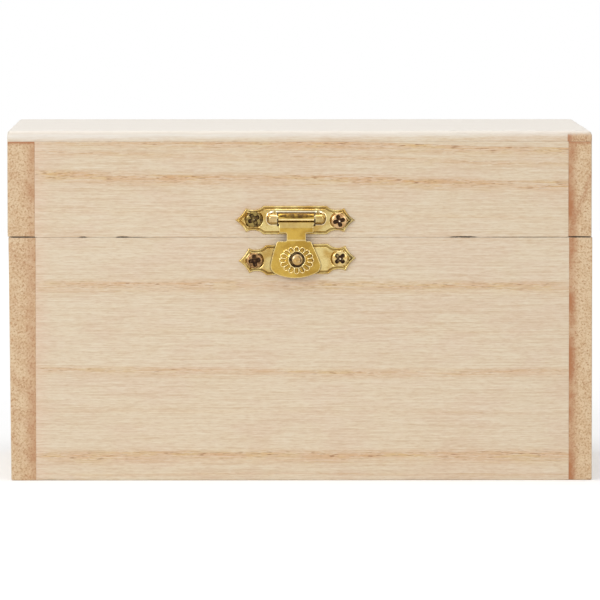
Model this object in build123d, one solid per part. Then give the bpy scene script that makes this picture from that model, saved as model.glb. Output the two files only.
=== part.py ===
from build123d import *
import math
import os

# A small keepsake box of bare, pale wood: a glued base, a flat lid on two little brass butt
# hinges, and a stamped brass clasp whose flap hangs over a stud. Millimetres, +Z up, the front
# towards -Y, and the origin on the underside, below the middle of the base.

# Box
box_width = 150.0
box_depth = 90.0
base_height = 62.6
lid_height = 27.2
board = 6.4
left_side_board = 7.0
right_side_board = 6.0
bottom_thickness = 3.0
top_thickness = 2.8
seam_gap = 0.2
lid_shift = 0.2
edge_ease = 0.4
top_front_ease = 1.5
top_left_ease = 0.7
top_right_ease = 1.3

# Clasp, seen from the front: across from the middle of the box, and up from the seam
upper_plate_length = 30.7
upper_plate_height = 7.3
upper_plate_across = -1.4
upper_plate_rise = 4.35
upper_screw_shift = 0.35
upper_left_screw_up = 0.25
upper_right_screw_up = -0.15
lower_plate_length = 30.2
lower_plate_height = 7.7
lower_plate_across = -0.85
lower_plate_drop = 5.75
lower_plate_turn = 1.4
plate_sheet = 0.6
rim_width = 0.75
rim_height = 0.3
plate_screw_spacing = 21.9

# Clasp flap, measured down from its pin and up and down from the hole over the stud
hasp_across = -1.1
hasp_pin_above_plate_middle = 0.75
hasp_sheet = 0.5
hasp_pin_radius = 0.5
curl_length = 9.3
curl_overhang_degrees = 75.0
shoulder_width = 8.8
shoulder_drop = 3.95
shoulder_bend_drop = 2.7
shoulder_step = 0.25
neck_width = 4.9
fan_left_reach = 6.6
fan_right_reach = 6.25
fan_left_corner = 4.9
fan_right_corner = 3.75
fan_above_hole = 4.7
fan_below_hole = 4.72
flap_corner_ease = 0.35
bend_radius = 0.5
hasp_hole_radius = 1.9
hasp_hole_right_of_middle = 0.15

# Ears of the upper plate, one round each end of the pin
ear_length = 2.5
ear_radius = 1.4
ear_ease = 0.9

# Rosette pressed up round the flap's hole
petal_count = 16
petal_radius = 0.6
petal_ridge = 0.2
petal_height = 0.18
rosette_half_width = 3.75
rosette_half_height = 2.9

# Catch stud
stud_radius = 1.42
stud_proud = 0.65
stud_crown = 0.5
stud_crown_bulge = 0.1
stud_dimple_radius = 0.55
stud_dimple_depth = 0.22
stud_tenon_radius = 0.9

# Clasp screws
clasp_head_radius = 2.0
clasp_head_height = 0.85
clasp_head_rim = 0.35
clasp_thread_radius = 1.0
clasp_screw_turns = {"upper": (28.0, 15.0), "lower": (8.0, 45.0)}

# Back hinges
hinge_length = 20.0
hinge_leaf_height = 8.2
hinge_sheet = 0.6
hinge_pin_radius = 0.65
hinge_spacing = 92.0
hinge_screw_spacing = 12.0
hinge_screw_setback = 5.1
hinge_head_radius = 1.55
hinge_head_depth = 0.45
hinge_head_crown = 0.2
hinge_thread_radius = 0.8
hinge_screw_turns = (12.0, 70.0, 35.0, 55.0)
hinge_corner_ease = 0.8
knuckle_count = 5

# Screw details, as shares of the head's or the thread's own size
recess_length_share = 0.6
recess_width_share = 0.14
recess_depth_share = 0.7
thread_depth_share = 0.28
thread_pitch_share = 0.75
tip_length_share = 1.6
clasp_crown_shares = ((0.45, 0.93), (0.8, 0.65))
hinge_crown_shares = (0.6, 0.7)

# Clearances
running_clearance = 0.05
pilot_clearance = 0.03
knuckle_gap = 0.15
knuckle_wood_gap = 0.15
curl_side_gap = 0.3
curl_wood_gap = 0.1
flap_clearance = 0.3
window_above_curl = 0.3
window_below_pin = 2.3
screw_cover = 1.2
tenon_clearance = 0.02
overrun = 1.0

# Worked out from the sizes above
half_width = box_width / 2
half_depth = box_depth / 2
seam_height = base_height + seam_gap / 2
lid_bottom = base_height + seam_gap
clasp_screw_length = board - screw_cover + plate_sheet
hinge_screw_length = board - screw_cover
inner_left = left_side_board - half_width
inner_right = half_width - right_side_board
inner_half_depth = half_depth - board
front_face = Plane(origin=(0, -half_depth, 0), x_dir=(1, 0, 0), z_dir=(0, -1, 0))
back_face = Plane(origin=(0, half_depth, 0), x_dir=(-1, 0, 0), z_dir=(0, 1, 0))


def block(x_span, y_span, z_span):
    """A rectangular block between the two ends given for each direction."""
    size = [high - low for low, high in (x_span, y_span, z_span)]
    corner = (x_span[0], y_span[0], z_span[0])
    return Pos(*corner) * Box(*size, align=(Align.MIN, Align.MIN, Align.MIN))


def disc(radius, low, high, across=0, up=0):
    """A round bar along the third direction, from low to high."""
    bar = Cylinder(radius, high - low, align=(Align.CENTER, Align.CENTER, Align.MIN))
    return Pos(across, up, low) * bar


def bar_across(radius, left, right, up, out):
    """A round bar that lies across the face, from left to right."""
    bar = Cylinder(radius, right - left, align=(Align.CENTER, Align.CENTER, Align.MIN))
    return Pos(left, up, out) * Rot(0, 90, 0) * bar


def arris_waste(width, height, length, eases):
    """What sanding takes off a bar's four long arrises, anticlockwise from the lower left one."""
    corners = ((-width / 2, 0), (width / 2, 0), (width / 2, height), (-width / 2, height))
    waste = []
    for quarter, (corner, ease) in enumerate(zip(corners, eases)):
        if ease:
            square = Rectangle(ease + overrun, ease + overrun, align=(Align.MIN, Align.MIN))
            outside_round = Pos(-overrun, -overrun) * square - Pos(ease, ease) * Circle(ease)
            outline = Pos(*corner) * Rot(0, 0, 90 * quarter) * outside_round
            waste.append(extrude(outline, amount=length / 2 + overrun, both=True))
    return waste


def sanded_outside(height, lower_ease, front_ease, left_ease, right_ease):
    """The outside of a glued carcase with its outer arrises sanded."""
    outside = extrude(RectangleRounded(box_width, box_depth, edge_ease), amount=height)
    along_depth = (lower_ease, lower_ease, right_ease, left_ease)
    for waste in arris_waste(box_width, height, box_depth, along_depth):
        outside -= Plane.XZ * waste
    along_width = (lower_ease, lower_ease, front_ease, front_ease)
    for waste in arris_waste(box_depth, height, box_width, along_width):
        outside -= Plane.YZ * waste
    return outside


def carcase_boards(outside, low, high):
    """Four boards: the sides run the full depth, the front and back stand between them."""
    sides = (-half_depth, half_depth)
    between = (inner_left, inner_right)
    spans = {
        "left_side": ((-half_width, inner_left), sides),
        "right_side": ((inner_right, half_width), sides),
        "front": (between, (-half_depth, -inner_half_depth)),
        "back": (between, (inner_half_depth, half_depth)),
    }
    return {name: outside & block(x, y, (low, high)) for name, (x, y) in spans.items()}


def base_boards():
    outside = sanded_outside(base_height, edge_ease, 0, 0, 0)
    boards = carcase_boards(outside, 0, base_height)
    inside_x = (inner_left, inner_right)
    inside_y = (-inner_half_depth, inner_half_depth)
    boards["bottom_panel"] = block(inside_x, inside_y, (0, bottom_thickness))
    return {"base_" + name: board for name, board in boards.items()}


def lid_boards():
    outside = sanded_outside(lid_height, 0, top_front_ease, top_left_ease, top_right_ease)
    walls_top = lid_height - top_thickness
    boards = carcase_boards(outside, 0, walls_top)
    whole_x = (-half_width, half_width)
    whole_y = (-half_depth, half_depth)
    boards["top_panel"] = outside & block(whole_x, whole_y, (walls_top, lid_height))
    place = Pos(-lid_shift, 0, lid_bottom)
    return {"lid_" + name: place * board for name, board in boards.items()}


def cross_recess(head_radius, head_height, top, turn):
    """The crossed driver slots, cut down from the top of a screw head."""
    length = 2 * head_radius * recess_length_share
    width = 2 * head_radius * recess_width_share
    depth = head_height * recess_depth_share
    slot = Pos(0, 0, top - depth) * Box(
        length, width, depth + overrun, align=(Align.CENTER, Align.CENTER, Align.MIN)
    )
    return Rot(0, 0, turn) * slot + Rot(0, 0, turn + 90) * slot


def threaded_shank(radius, length):
    """Points of half the shank's section, from its top down: ridges, then a plain cone tip."""
    core = radius * (1 - thread_depth_share)
    pitch = radius * thread_pitch_share
    tip = radius * tip_length_share
    ridges = int((length - tip) / pitch)
    points = [(core, 0)]
    for ridge in range(ridges):
        top = -ridge * pitch
        points += [(radius, top - pitch / 2), (core, top - pitch)]
    return points + [(core, tip - length), (0, -length)]


def wood_screw(head_points, thread_radius, length, recess):
    """A turned screw along the third direction: its head stands on the seat at zero."""
    section = Polyline(*head_points, *threaded_shank(thread_radius, length), close=True)
    turned = revolve(Plane.XZ * make_face(section), axis=Axis.Z)
    return turned - recess


def clasp_screw(turn):
    """A round-headed screw of the clasp, its crown turned in three flats."""
    height = clasp_head_height
    head = [(0, height)]
    for across, up in clasp_crown_shares:
        head.append((clasp_head_radius * across, height * up))
    head += [(clasp_head_radius, clasp_head_rim), (clasp_head_radius, 0)]
    recess = cross_recess(clasp_head_radius, height, height, turn)
    return wood_screw(head, clasp_thread_radius, clasp_screw_length, recess)


def hinge_screw(turn):
    """A countersunk hinge screw, slightly crowned above the leaf."""
    top = hinge_sheet + hinge_head_crown
    across, up = hinge_crown_shares
    head = [
        (0, top),
        (hinge_head_radius * across, hinge_sheet + hinge_head_crown * up),
        (hinge_head_radius, hinge_sheet),
        (hinge_thread_radius, hinge_sheet - hinge_head_depth),
        (hinge_thread_radius, 0),
    ]
    recess = cross_recess(hinge_head_radius, hinge_head_depth + hinge_head_crown, top, turn)
    return wood_screw(head, hinge_thread_radius, hinge_screw_length, recess)


# Clasp plates
# One quarter of the stamped outline, as shares of the half length and half height: the tip, the
# hollow side of the point, its shoulder, the notch behind the screw, and the long edge
point_shares = (1.0, 0.0)
hollow_shares = (0.895, 0.36)
spur_shares = (0.82, 0.84)
notch_shares = (0.675, 0.71)
edge_shares = (0.53, 1.0)


def plate_outline(length, height):
    """The stamped plate: a pointed, hollow-sided end past each screw, and straight long edges."""

    def at(shares, side, level):
        return (side * shares[0] * length / 2, level * shares[1] * height / 2)

    lines = []
    for side in (-1, 1):
        for level in (-1, 1):
            tip = at(point_shares, side, level)
            spur = at(spur_shares, side, level)
            edge = at(edge_shares, side, level)
            lines.append(ThreePointArc(tip, at(hollow_shares, side, level), spur))
            lines.append(ThreePointArc(spur, at(notch_shares, side, level), edge))
    for level in (-1, 1):
        lines.append(Line(at(edge_shares, -1, level), at(edge_shares, 1, level)))
    return make_face(lines)


def clasp_plate(length, height, screw_places):
    """A stamped plate with a raised rim, and a flat round seat with a hole for each screw."""
    outline = plate_outline(length, height)
    field = offset(outline, amount=-rim_width, kind=Kind.INTERSECTION)
    plate = extrude(outline, amount=plate_sheet + rim_height)
    plate -= Pos(0, 0, plate_sheet) * extrude(field, amount=rim_height + overrun)
    for across, up in screw_places:
        seat_radius = clasp_head_radius + running_clearance
        hole_radius = clasp_thread_radius + tenon_clearance
        plate -= disc(seat_radius, plate_sheet, plate_sheet + overrun, across, up)
        plate -= disc(hole_radius, -overrun, plate_sheet + overrun, across, up)
    return plate


# The flap turns on its pin in front of the upper plate, in a window between two ears
upper_plate_up = seam_height + upper_plate_rise
lower_plate_up = seam_height - lower_plate_drop
pin_up = upper_plate_up + hasp_pin_above_plate_middle
curl_inner = hasp_pin_radius + running_clearance
curl_outer = curl_inner + hasp_sheet
curl_middle = curl_inner + hasp_sheet / 2
pin_out = curl_outer + curl_wood_gap
fan_out = plate_sheet + rim_height + flap_clearance + hasp_sheet / 2
shoulder_out = fan_out + shoulder_step
flap_front = fan_out + hasp_sheet / 2
stud_reach = flap_front + stud_proud
fan_top = lower_plate_up + fan_above_hole
fan_foot = lower_plate_up - fan_below_hole
window_half_width = curl_length / 2 + curl_side_gap
pin_reach = window_half_width + ear_length - ear_ease
upper_screw_places = [
    (upper_screw_shift - plate_screw_spacing / 2, upper_left_screw_up),
    (upper_screw_shift + plate_screw_spacing / 2, upper_right_screw_up),
]
lower_screw_places = [(-plate_screw_spacing / 2, 0), (plate_screw_spacing / 2, 0)]
hole_across = hasp_across + hasp_hole_right_of_middle
upper_plate_place = Pos(upper_plate_across, upper_plate_up, 0)
lower_plate_place = Pos(lower_plate_across, lower_plate_up, 0) * Rot(0, 0, lower_plate_turn)


def pin_bar(radius, reach):
    """A bar on the flap's pin line, as long to the left of the flap's middle as to the right."""
    return bar_across(radius, hasp_across - reach, hasp_across + reach, pin_up, pin_out)


def clasp_ear(side):
    """A loop of the plate bulging forward round one end of the pin, closed at its far end."""
    bulge = Cylinder(ear_radius, ear_length, align=(Align.CENTER, Align.CENTER, Align.MIN))
    far_rim = bulge.edges().filter_by(GeomType.CIRCLE).sort_by(Axis.Z)[-1]
    bulge = fillet(far_rim, ear_ease)
    place = Pos(hasp_across + side * window_half_width, pin_up, pin_out)
    ear = place * Rot(0, side * 90, 0) * bulge
    wood = block((-half_width, half_width), (0, 2 * seam_height), (-board, 0))
    return ear - wood


def upper_plate():
    plate = clasp_plate(upper_plate_length, upper_plate_height, upper_screw_places)
    plate = upper_plate_place * plate
    window = block(
        (hasp_across - window_half_width, hasp_across + window_half_width),
        (pin_up - window_below_pin, pin_up + curl_outer + window_above_curl),
        (-overrun, plate_sheet + rim_height + overrun),
    )
    plate = plate - window + clasp_ear(-1) + clasp_ear(1)
    return front_face * (plate - pin_bar(curl_inner, pin_reach + running_clearance))


def hasp_pin():
    return front_face * pin_bar(hasp_pin_radius, pin_reach)


def hasp_strip():
    """The flap's bent strip at its full width: a curl round the pin, then the stepped leaf."""
    side = Plane(origin=(hasp_across, 0, 0), x_dir=(0, 0, 1), z_dir=(-1, 0, 0))
    start_angle = -curl_overhang_degrees
    curl = CenterArc((pin_out, pin_up), curl_middle, start_angle, 180 - start_angle)
    leaf = FilletPolyline(
        (pin_out - curl_middle, pin_up),
        (pin_out - curl_middle, pin_up - curl_outer),
        (shoulder_out, pin_up - shoulder_bend_drop),
        (fan_out, fan_top + bend_radius),
        (fan_out, fan_foot - overrun),
        radius=bend_radius,
    )
    path = Wire([side * edge for edge in curl.edges() + leaf.edges()])
    start = Plane(origin=path @ 0, x_dir=(1, 0, 0), z_dir=path % 0)
    strip_width = 2 * max(fan_left_reach, fan_right_reach)
    return sweep(start * Rectangle(strip_width, hasp_sheet), path=path)


# The fan's left and right sides, as shares of that side's reach and of the height above the foot:
# the middle of the spreading side, where it is full, its turn, the heel and the toe
fan_left_shares = ((0.882, 0.708), (0.995, 0.395), (1.0, 0.32), (0.962, 0.21), (0.85, 0.13))
fan_right_shares = ((0.795, 0.708), (0.985, 0.395), (1.0, 0.32), (0.963, 0.236), (0.91, 0.172))


def fan_side(corner, reach, side_shares):
    """One side of the fan from its top corner to its heel, and on to its toe, and the toe."""
    height = fan_top - fan_foot
    places = [(across * reach, fan_foot + up * height) for across, up in side_shares]
    spread, full, turn, heel, toe = places
    upper = ThreePointArc((corner, fan_top), spread, full)
    return [upper, ThreePointArc(full, turn, heel), Line(heel, toe)], toe


def fan_outline():
    """The broad lower end of the flap: a spreading top, full sides and a shallow round foot."""
    left, left_toe = fan_side(-fan_left_corner, -fan_left_reach, fan_left_shares)
    right, right_toe = fan_side(fan_right_corner, fan_right_reach, fan_right_shares)
    top = Line((-fan_left_corner, fan_top), (fan_right_corner, fan_top))
    foot = ThreePointArc(left_toe, (0, fan_foot), right_toe)
    return make_face([top, *left, *right, foot])


def flap_bar(width, high, low):
    """A plain stretch of the flap's outline, from high down to low."""
    return Pos(0, low) * Rectangle(width, high - low, align=(Align.CENTER, Align.MIN))


def hasp_outline():
    """The flap's outline seen from the front, about its own middle, with eased corners."""
    shoulder_low = pin_up - shoulder_drop
    outline = flap_bar(curl_length, pin_up + curl_outer, pin_up - curl_outer - hasp_sheet)
    outline += flap_bar(shoulder_width, pin_up, shoulder_low)
    outline += flap_bar(neck_width, pin_up, fan_top - bend_radius)
    outline += fan_outline()
    corners = []
    for side, fan_corner in ((-1, fan_left_corner), (1, fan_right_corner)):
        corners += [
            (side * shoulder_width / 2, shoulder_low),
            (side * neck_width / 2, shoulder_low),
            (side * neck_width / 2, fan_top),
            (side * fan_corner, fan_top),
        ]
    for corner in corners:
        nearest = outline.vertices().sort_by_distance(corner)[:1]
        outline = fillet(nearest, flap_corner_ease)
    return outline


def rosette():
    """A ring of raised petals round the flap's hole, each a ridge with a hollow middle."""
    petals = []
    for petal in range(petal_count):
        angle = 2 * math.pi * petal / petal_count
        across = hole_across + rosette_half_width * math.cos(angle)
        up = lower_plate_up + rosette_half_height * math.sin(angle)
        ridge = disc(petal_radius, fan_out, flap_front + petal_height, across, up)
        hollow = disc(petal_radius - petal_ridge, fan_out, stud_reach, across, up)
        petals.append(ridge - hollow)
    return petals


def hasp():
    mask = extrude(Pos(hasp_across, 0) * hasp_outline(), amount=half_depth, both=True)
    flap = hasp_strip() & mask
    for petal in rosette():
        flap += petal
    flap -= disc(hasp_hole_radius, 0, half_depth, hole_across, lower_plate_up)
    return front_face * flap


def lower_plate():
    plate = clasp_plate(lower_plate_length, lower_plate_height, lower_screw_places)
    plate -= disc(stud_tenon_radius + tenon_clearance, -overrun, plate_sheet + overrun)
    return front_face * lower_plate_place * plate


def catch_stud():
    """A turned stud with a dimpled crown, its tenon set in the lower plate."""
    brow = stud_reach - stud_crown
    shoulder = [
        (0, 0),
        (stud_tenon_radius, 0),
        (stud_tenon_radius, plate_sheet),
        (stud_radius, plate_sheet),
        (stud_radius, brow),
    ]
    middle = (stud_radius + stud_dimple_radius) / 2
    crown_top = (stud_dimple_radius, stud_reach)
    bulge = (middle + stud_crown_bulge, stud_reach - stud_crown / 2 + stud_crown_bulge)
    dimple_floor = (0, stud_reach - stud_dimple_depth)
    section = make_face(
        [
            Polyline(*shoulder),
            ThreePointArc(shoulder[-1], bulge, crown_top),
            Polyline(crown_top, dimple_floor, shoulder[0]),
        ]
    )
    stud = revolve(Plane.XZ * section, axis=Axis.Z)
    return front_face * lower_plate_place * stud


# Hinges, seen from the back: across, up and out from the back face
hinge_barrel_radius = hinge_pin_radius + running_clearance + hinge_sheet
hinge_pin_out = hinge_barrel_radius + knuckle_wood_gap
hinge_places = {"left": hinge_spacing / 2, "right": -hinge_spacing / 2}
knuckle_pitch = hinge_length / knuckle_count


def hinge_leaf(direction, first_knuckle, screw_places):
    """A leaf lying flat on the wood, up or down from the pin, with every second knuckle."""
    clear = direction * (hinge_barrel_radius + 2 * knuckle_gap)
    edge = direction * hinge_leaf_height
    across = (-hinge_length / 2, hinge_length / 2)
    leaf = block(across, sorted((seam_height + clear, seam_height + edge)), (0, hinge_sheet))
    outer = leaf.edges().filter_by(Axis.Z).sort_by(Axis.Y)
    leaf = fillet(outer[-2:] if direction > 0 else outer[:2], hinge_corner_ease)
    for knuckle in range(first_knuckle, knuckle_count, 2):
        left = -hinge_length / 2 + knuckle * knuckle_pitch + knuckle_gap / 2
        right = left + knuckle_pitch - knuckle_gap
        root = sorted((seam_height, seam_height + clear))
        leaf += block((left, right), root, (0, hinge_sheet))
        leaf += bar_across(hinge_barrel_radius, left, right, seam_height, hinge_pin_out)
    bore = hinge_pin_radius + running_clearance
    leaf -= bar_across(bore, -hinge_length, hinge_length, seam_height, hinge_pin_out)
    for across, up in screw_places:
        leaf -= hinge_countersink(across, up)
    return leaf


def hinge_countersink(across, up):
    """The hole of one leaf screw: its head's cone, then a plain hole."""
    wide = hinge_head_radius + tenon_clearance
    narrow = hinge_thread_radius + tenon_clearance
    section = Polyline(
        (0, hinge_sheet + overrun),
        (wide, hinge_sheet + overrun),
        (wide, hinge_sheet),
        (narrow, hinge_sheet - hinge_head_depth),
        (narrow, -overrun),
        (0, -overrun),
        close=True,
    )
    return Pos(across, up, 0) * revolve(Plane.XZ * make_face(section), axis=Axis.Z)


def hinge_screw_places(direction):
    """The two screws of a leaf, across from its middle and up from the base's underside."""
    up = seam_height + direction * hinge_screw_setback
    return [(side * hinge_screw_spacing / 2, up) for side in (-1, 1)]


def hinge_pin():
    reach = hinge_length / 2 - knuckle_gap / 2
    return bar_across(hinge_pin_radius, -reach, reach, seam_height, hinge_pin_out)


def hinge_nodes():
    """Both hinges' leaves and pins, the screws as one group in the base and one in the lid."""
    nodes = {}
    leaves = {"base": (-1, 0), "lid": (1, 1)}
    screws = {"base": [], "lid": []}
    for side, across in hinge_places.items():
        place = back_face * Pos(across, 0, 0)
        nodes[f"hinge_{side}_pin"] = place * hinge_pin()
        for member, (direction, first_knuckle) in leaves.items():
            places = hinge_screw_places(direction)
            leaf = hinge_leaf(direction, first_knuckle, places)
            nodes[f"hinge_{side}_{member}_leaf"] = place * leaf
            turns = hinge_screw_turns[:2] if side == "left" else hinge_screw_turns[2:]
            for (screw_across, up), turn in zip(places, turns):
                screw = hinge_screw(turn)
                screws[member].append(place * Pos(screw_across, up, 0) * screw)
    for member, group in screws.items():
        nodes[f"hinge_{member}_screws"] = Compound(children=group)
    return nodes


def hinge_screw_holes(direction):
    """The pilot holes of one member's hinge screws, in its back board."""
    radius = hinge_thread_radius + pilot_clearance
    depth = board - screw_cover + pilot_clearance
    return [
        back_face * Pos(across + screw_across, 0, 0) * disc(radius, -depth, overrun, 0, up)
        for across in hinge_places.values()
        for screw_across, up in hinge_screw_places(direction)
    ]


def clasp_screw_set(screw_places, turns, plate_place):
    """The two screws of one clasp plate."""
    return Compound(
        children=[
            front_face * plate_place * Pos(across, up, plate_sheet) * clasp_screw(turn)
            for (across, up), turn in zip(screw_places, turns)
        ]
    )


def clasp_screw_holes(screw_places, plate_place):
    """The pilot holes of one clasp plate's screws, in the board behind it."""
    radius = clasp_thread_radius + pilot_clearance
    depth = clasp_screw_length - plate_sheet + pilot_clearance
    return [
        front_face * plate_place * disc(radius, -depth, overrun, across, up)
        for across, up in screw_places
    ]


def all_nodes():
    nodes = base_boards() | lid_boards() | hinge_nodes()
    holes = {
        "base_back": hinge_screw_holes(-1),
        "lid_back": hinge_screw_holes(1),
        "base_front": clasp_screw_holes(lower_screw_places, lower_plate_place),
        "lid_front": clasp_screw_holes(upper_screw_places, upper_plate_place),
    }
    for name, bores in holes.items():
        for bore in bores:
            nodes[name] -= bore
    nodes["latch_upper_plate"] = upper_plate()
    nodes["latch_hasp_pin"] = hasp_pin()
    nodes["latch_hasp"] = hasp()
    nodes["latch_lower_plate"] = lower_plate()
    nodes["latch_catch_stud"] = catch_stud()
    nodes["latch_upper_screws"] = clasp_screw_set(
        upper_screw_places, clasp_screw_turns["upper"], upper_plate_place
    )
    nodes["latch_lower_screws"] = clasp_screw_set(
        lower_screw_places, clasp_screw_turns["lower"], lower_plate_place
    )
    return nodes


os.makedirs("parts", exist_ok=True)
for name, shape in all_nodes().items():
    export_step(shape, f"parts/{name}.step")
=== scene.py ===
import cmath
import itertools
import math

import bpy
import numpy as np
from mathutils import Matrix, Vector
from mathutils.geometry import delaunay_2d_cdt


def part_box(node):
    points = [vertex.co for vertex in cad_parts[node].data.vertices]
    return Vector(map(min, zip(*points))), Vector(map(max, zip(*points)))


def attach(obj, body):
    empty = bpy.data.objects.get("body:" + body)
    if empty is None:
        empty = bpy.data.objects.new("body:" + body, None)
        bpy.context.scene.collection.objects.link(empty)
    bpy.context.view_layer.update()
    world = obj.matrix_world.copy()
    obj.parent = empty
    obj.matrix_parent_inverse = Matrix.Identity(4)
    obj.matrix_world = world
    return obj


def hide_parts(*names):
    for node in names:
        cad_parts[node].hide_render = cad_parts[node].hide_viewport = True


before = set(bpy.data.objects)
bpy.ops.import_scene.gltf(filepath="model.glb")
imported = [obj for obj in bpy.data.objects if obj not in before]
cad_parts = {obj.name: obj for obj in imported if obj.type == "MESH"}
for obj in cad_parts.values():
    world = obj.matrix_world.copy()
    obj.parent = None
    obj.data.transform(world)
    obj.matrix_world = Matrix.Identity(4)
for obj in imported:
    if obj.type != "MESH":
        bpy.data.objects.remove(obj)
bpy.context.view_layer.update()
mm = 0.001

# Base boards
# Four boards of bare, sanded pale wood, glued face to face. The sides run the full depth and
# show their end grain at the front; the front and the back stand between them.
arris_steps = np.array([0, 0.12, 0.26, 0.42, 0.65, 0.95, 1.3, 1.6]) * mm
arris_zone_share = 0.45
board_pitch = 5 * mm
grain_pitch = 0.8 * mm
crisp_arris = 0.05 * mm
sanded_arris = 0.4 * mm
wear_spacing = 3.5 * mm
least_ease_share = 0.75
ease_spread_share = 0.5
hair = 1e-6 * mm
smooth_degrees = 40
faces_of_a_board = {
    "left": (0, 0),
    "right": (0, 1),
    "front": (1, 0),
    "back": (1, 1),
    "bottom": (2, 0),
    "top": (2, 1),
}


def stations(low, high, pitch):
    """Places across a board: close together at both arrises, about a pitch apart between."""
    steps = arris_steps[arris_steps < arris_zone_share * (high - low)]
    count = max(2, round((high - low) / pitch))
    inner = np.linspace(low + steps[-1], high - steps[-1], count)
    return np.concatenate([low + steps[:-1], inner, high - steps[-2::-1]])


def box_lattice(xs, ys, zs):
    """Vertices and quads of a closed box whose faces are divided at the given places."""
    shape = (len(xs), len(ys), len(zs))
    outer = np.ones(shape, bool)
    outer[1:-1, 1:-1, 1:-1] = False
    number = np.full(shape, -1)
    number[outer] = np.arange(outer.sum())
    places = np.stack(np.meshgrid(xs, ys, zs, indexing="ij"), -1)[outer]
    quads = []
    for axis in range(3):
        for side in (0, -1):
            sheet = np.take(number, side, axis)
            corners = (sheet[:-1, :-1], sheet[1:, :-1], sheet[1:, 1:], sheet[:-1, 1:])
            face = np.stack(corners, -1).reshape(-1, 4)
            flipped = (side == 0) != (axis == 1)
            quads.append(face[:, ::-1] if flipped else face)
    return places, np.concatenate(quads)


def wear(rng, along, spacing):
    """A random line from 0 to 1 over places along an arris."""
    knots = np.arange(along.min() - spacing, along.max() + 2 * spacing, spacing)
    return np.interp(along, knots, rng.random(len(knots)))


def eased(places, low, high, eases, chips, rng):
    """The box's places with every arris rounded, unevenly along it, and chipped where told."""
    moved = places.copy()
    for first, second in itertools.combinations(faces_of_a_board, 2):
        (axis_a, side_a), (axis_b, side_b) = faces_of_a_board[first], faces_of_a_board[second]
        if axis_a == axis_b:
            continue
        along = places[:, 3 - axis_a - axis_b]
        size = eases.get(f"{first} {second}", crisp_arris)
        radius = size * (least_ease_share + ease_spread_share * wear(rng, along, wear_spacing))
        for middle, half, deeper in chips.get(f"{first} {second}", ()):
            radius = radius + deeper * np.exp(-(((along - middle) / half) ** 4))
        ends = (low, high)
        from_a = abs(places[:, axis_a] - ends[side_a][axis_a])
        from_b = abs(places[:, axis_b] - ends[side_b][axis_b])
        nearer = np.minimum(from_a, from_b)
        farther = np.maximum(from_a, from_b)
        inside = farther < radius
        turn = np.pi / 4 * (1 - (farther - nearer) / np.maximum(radius - nearer, hair))
        far_new = radius - (radius - nearer) * np.sin(turn)
        near_new = radius - (radius - nearer) * np.cos(turn)
        a_is_near = from_a <= from_b
        for axis, side, was, is_near in (
            (axis_a, side_a, from_a, a_is_near),
            (axis_b, side_b, from_b, ~a_is_near),
        ):
            shift = np.where(is_near, near_new, far_new) - was
            inward = 1 if side == 0 else -1
            moved[:, axis] += np.where(inside, inward * shift, 0)
    return moved


def piece_from(name, places, polygons, material, sharp_degrees):
    """A smooth-shaded mesh object whose sharp edges stay sharp."""
    mesh = bpy.data.meshes.new(name)
    mesh.from_pydata([tuple(p) for p in places], [], [tuple(map(int, p)) for p in polygons])
    mesh.validate()
    mesh.shade_smooth()
    mesh.set_sharp_from_angle(angle=math.radians(sharp_degrees))
    mesh.materials.append(material)
    piece = bpy.data.objects.new(name, mesh)
    bpy.context.scene.collection.objects.link(piece)
    return piece


def keep_shares(piece, name, shares):
    """Keep a share for each point of a piece, which its finish reads by name."""
    holder = piece.data.attributes.new(name, "FLOAT", "POINT")
    holder.data.foreach_set("value", shares.astype(np.float32))


def board(node, body, material, seed, grain_axis=0, eases=None, chips=None, sag=None,
          dirt_and_shade=None, taper=None):
    """A board in place of its plain node: the same size, with worn arrises, some of them darkened
    by painted shade along the seam. sag and taper move places down and sideways, and the shade
    function gives how much painted shade each place takes."""
    low, high = (np.array(corner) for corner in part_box(node))
    pitches = [grain_pitch if axis == grain_axis else board_pitch for axis in range(3)]
    lines = [stations(low[axis], high[axis], pitches[axis]) for axis in range(3)]
    places, quads = box_lattice(*lines)
    rng = np.random.default_rng(seed)
    seam_shade_share = dirt_and_shade(places) if dirt_and_shade else np.zeros(len(places))
    places = eased(places, low, high, eases or {}, chips or {}, rng)
    if sag:
        places[:, 2] -= sag(places, low)
    if taper:
        places[:, 0] += taper(places)
    piece = piece_from(node + "_board", places, quads, material, smooth_degrees)
    keep_shares(piece, "dirt_and_shade", seam_shade_share)
    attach(piece, body)
    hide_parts(node)


def colour(red, green, blue):
    """A colour given as 0 to 255 steps of the screen, as the shader's own shares."""
    steps = [value / 255 for value in (red, green, blue)]
    shares = [s / 12.92 if s <= 0.04045 else ((s + 0.055) / 1.055) ** 2.4 for s in steps]
    return (*shares, 1)


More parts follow.
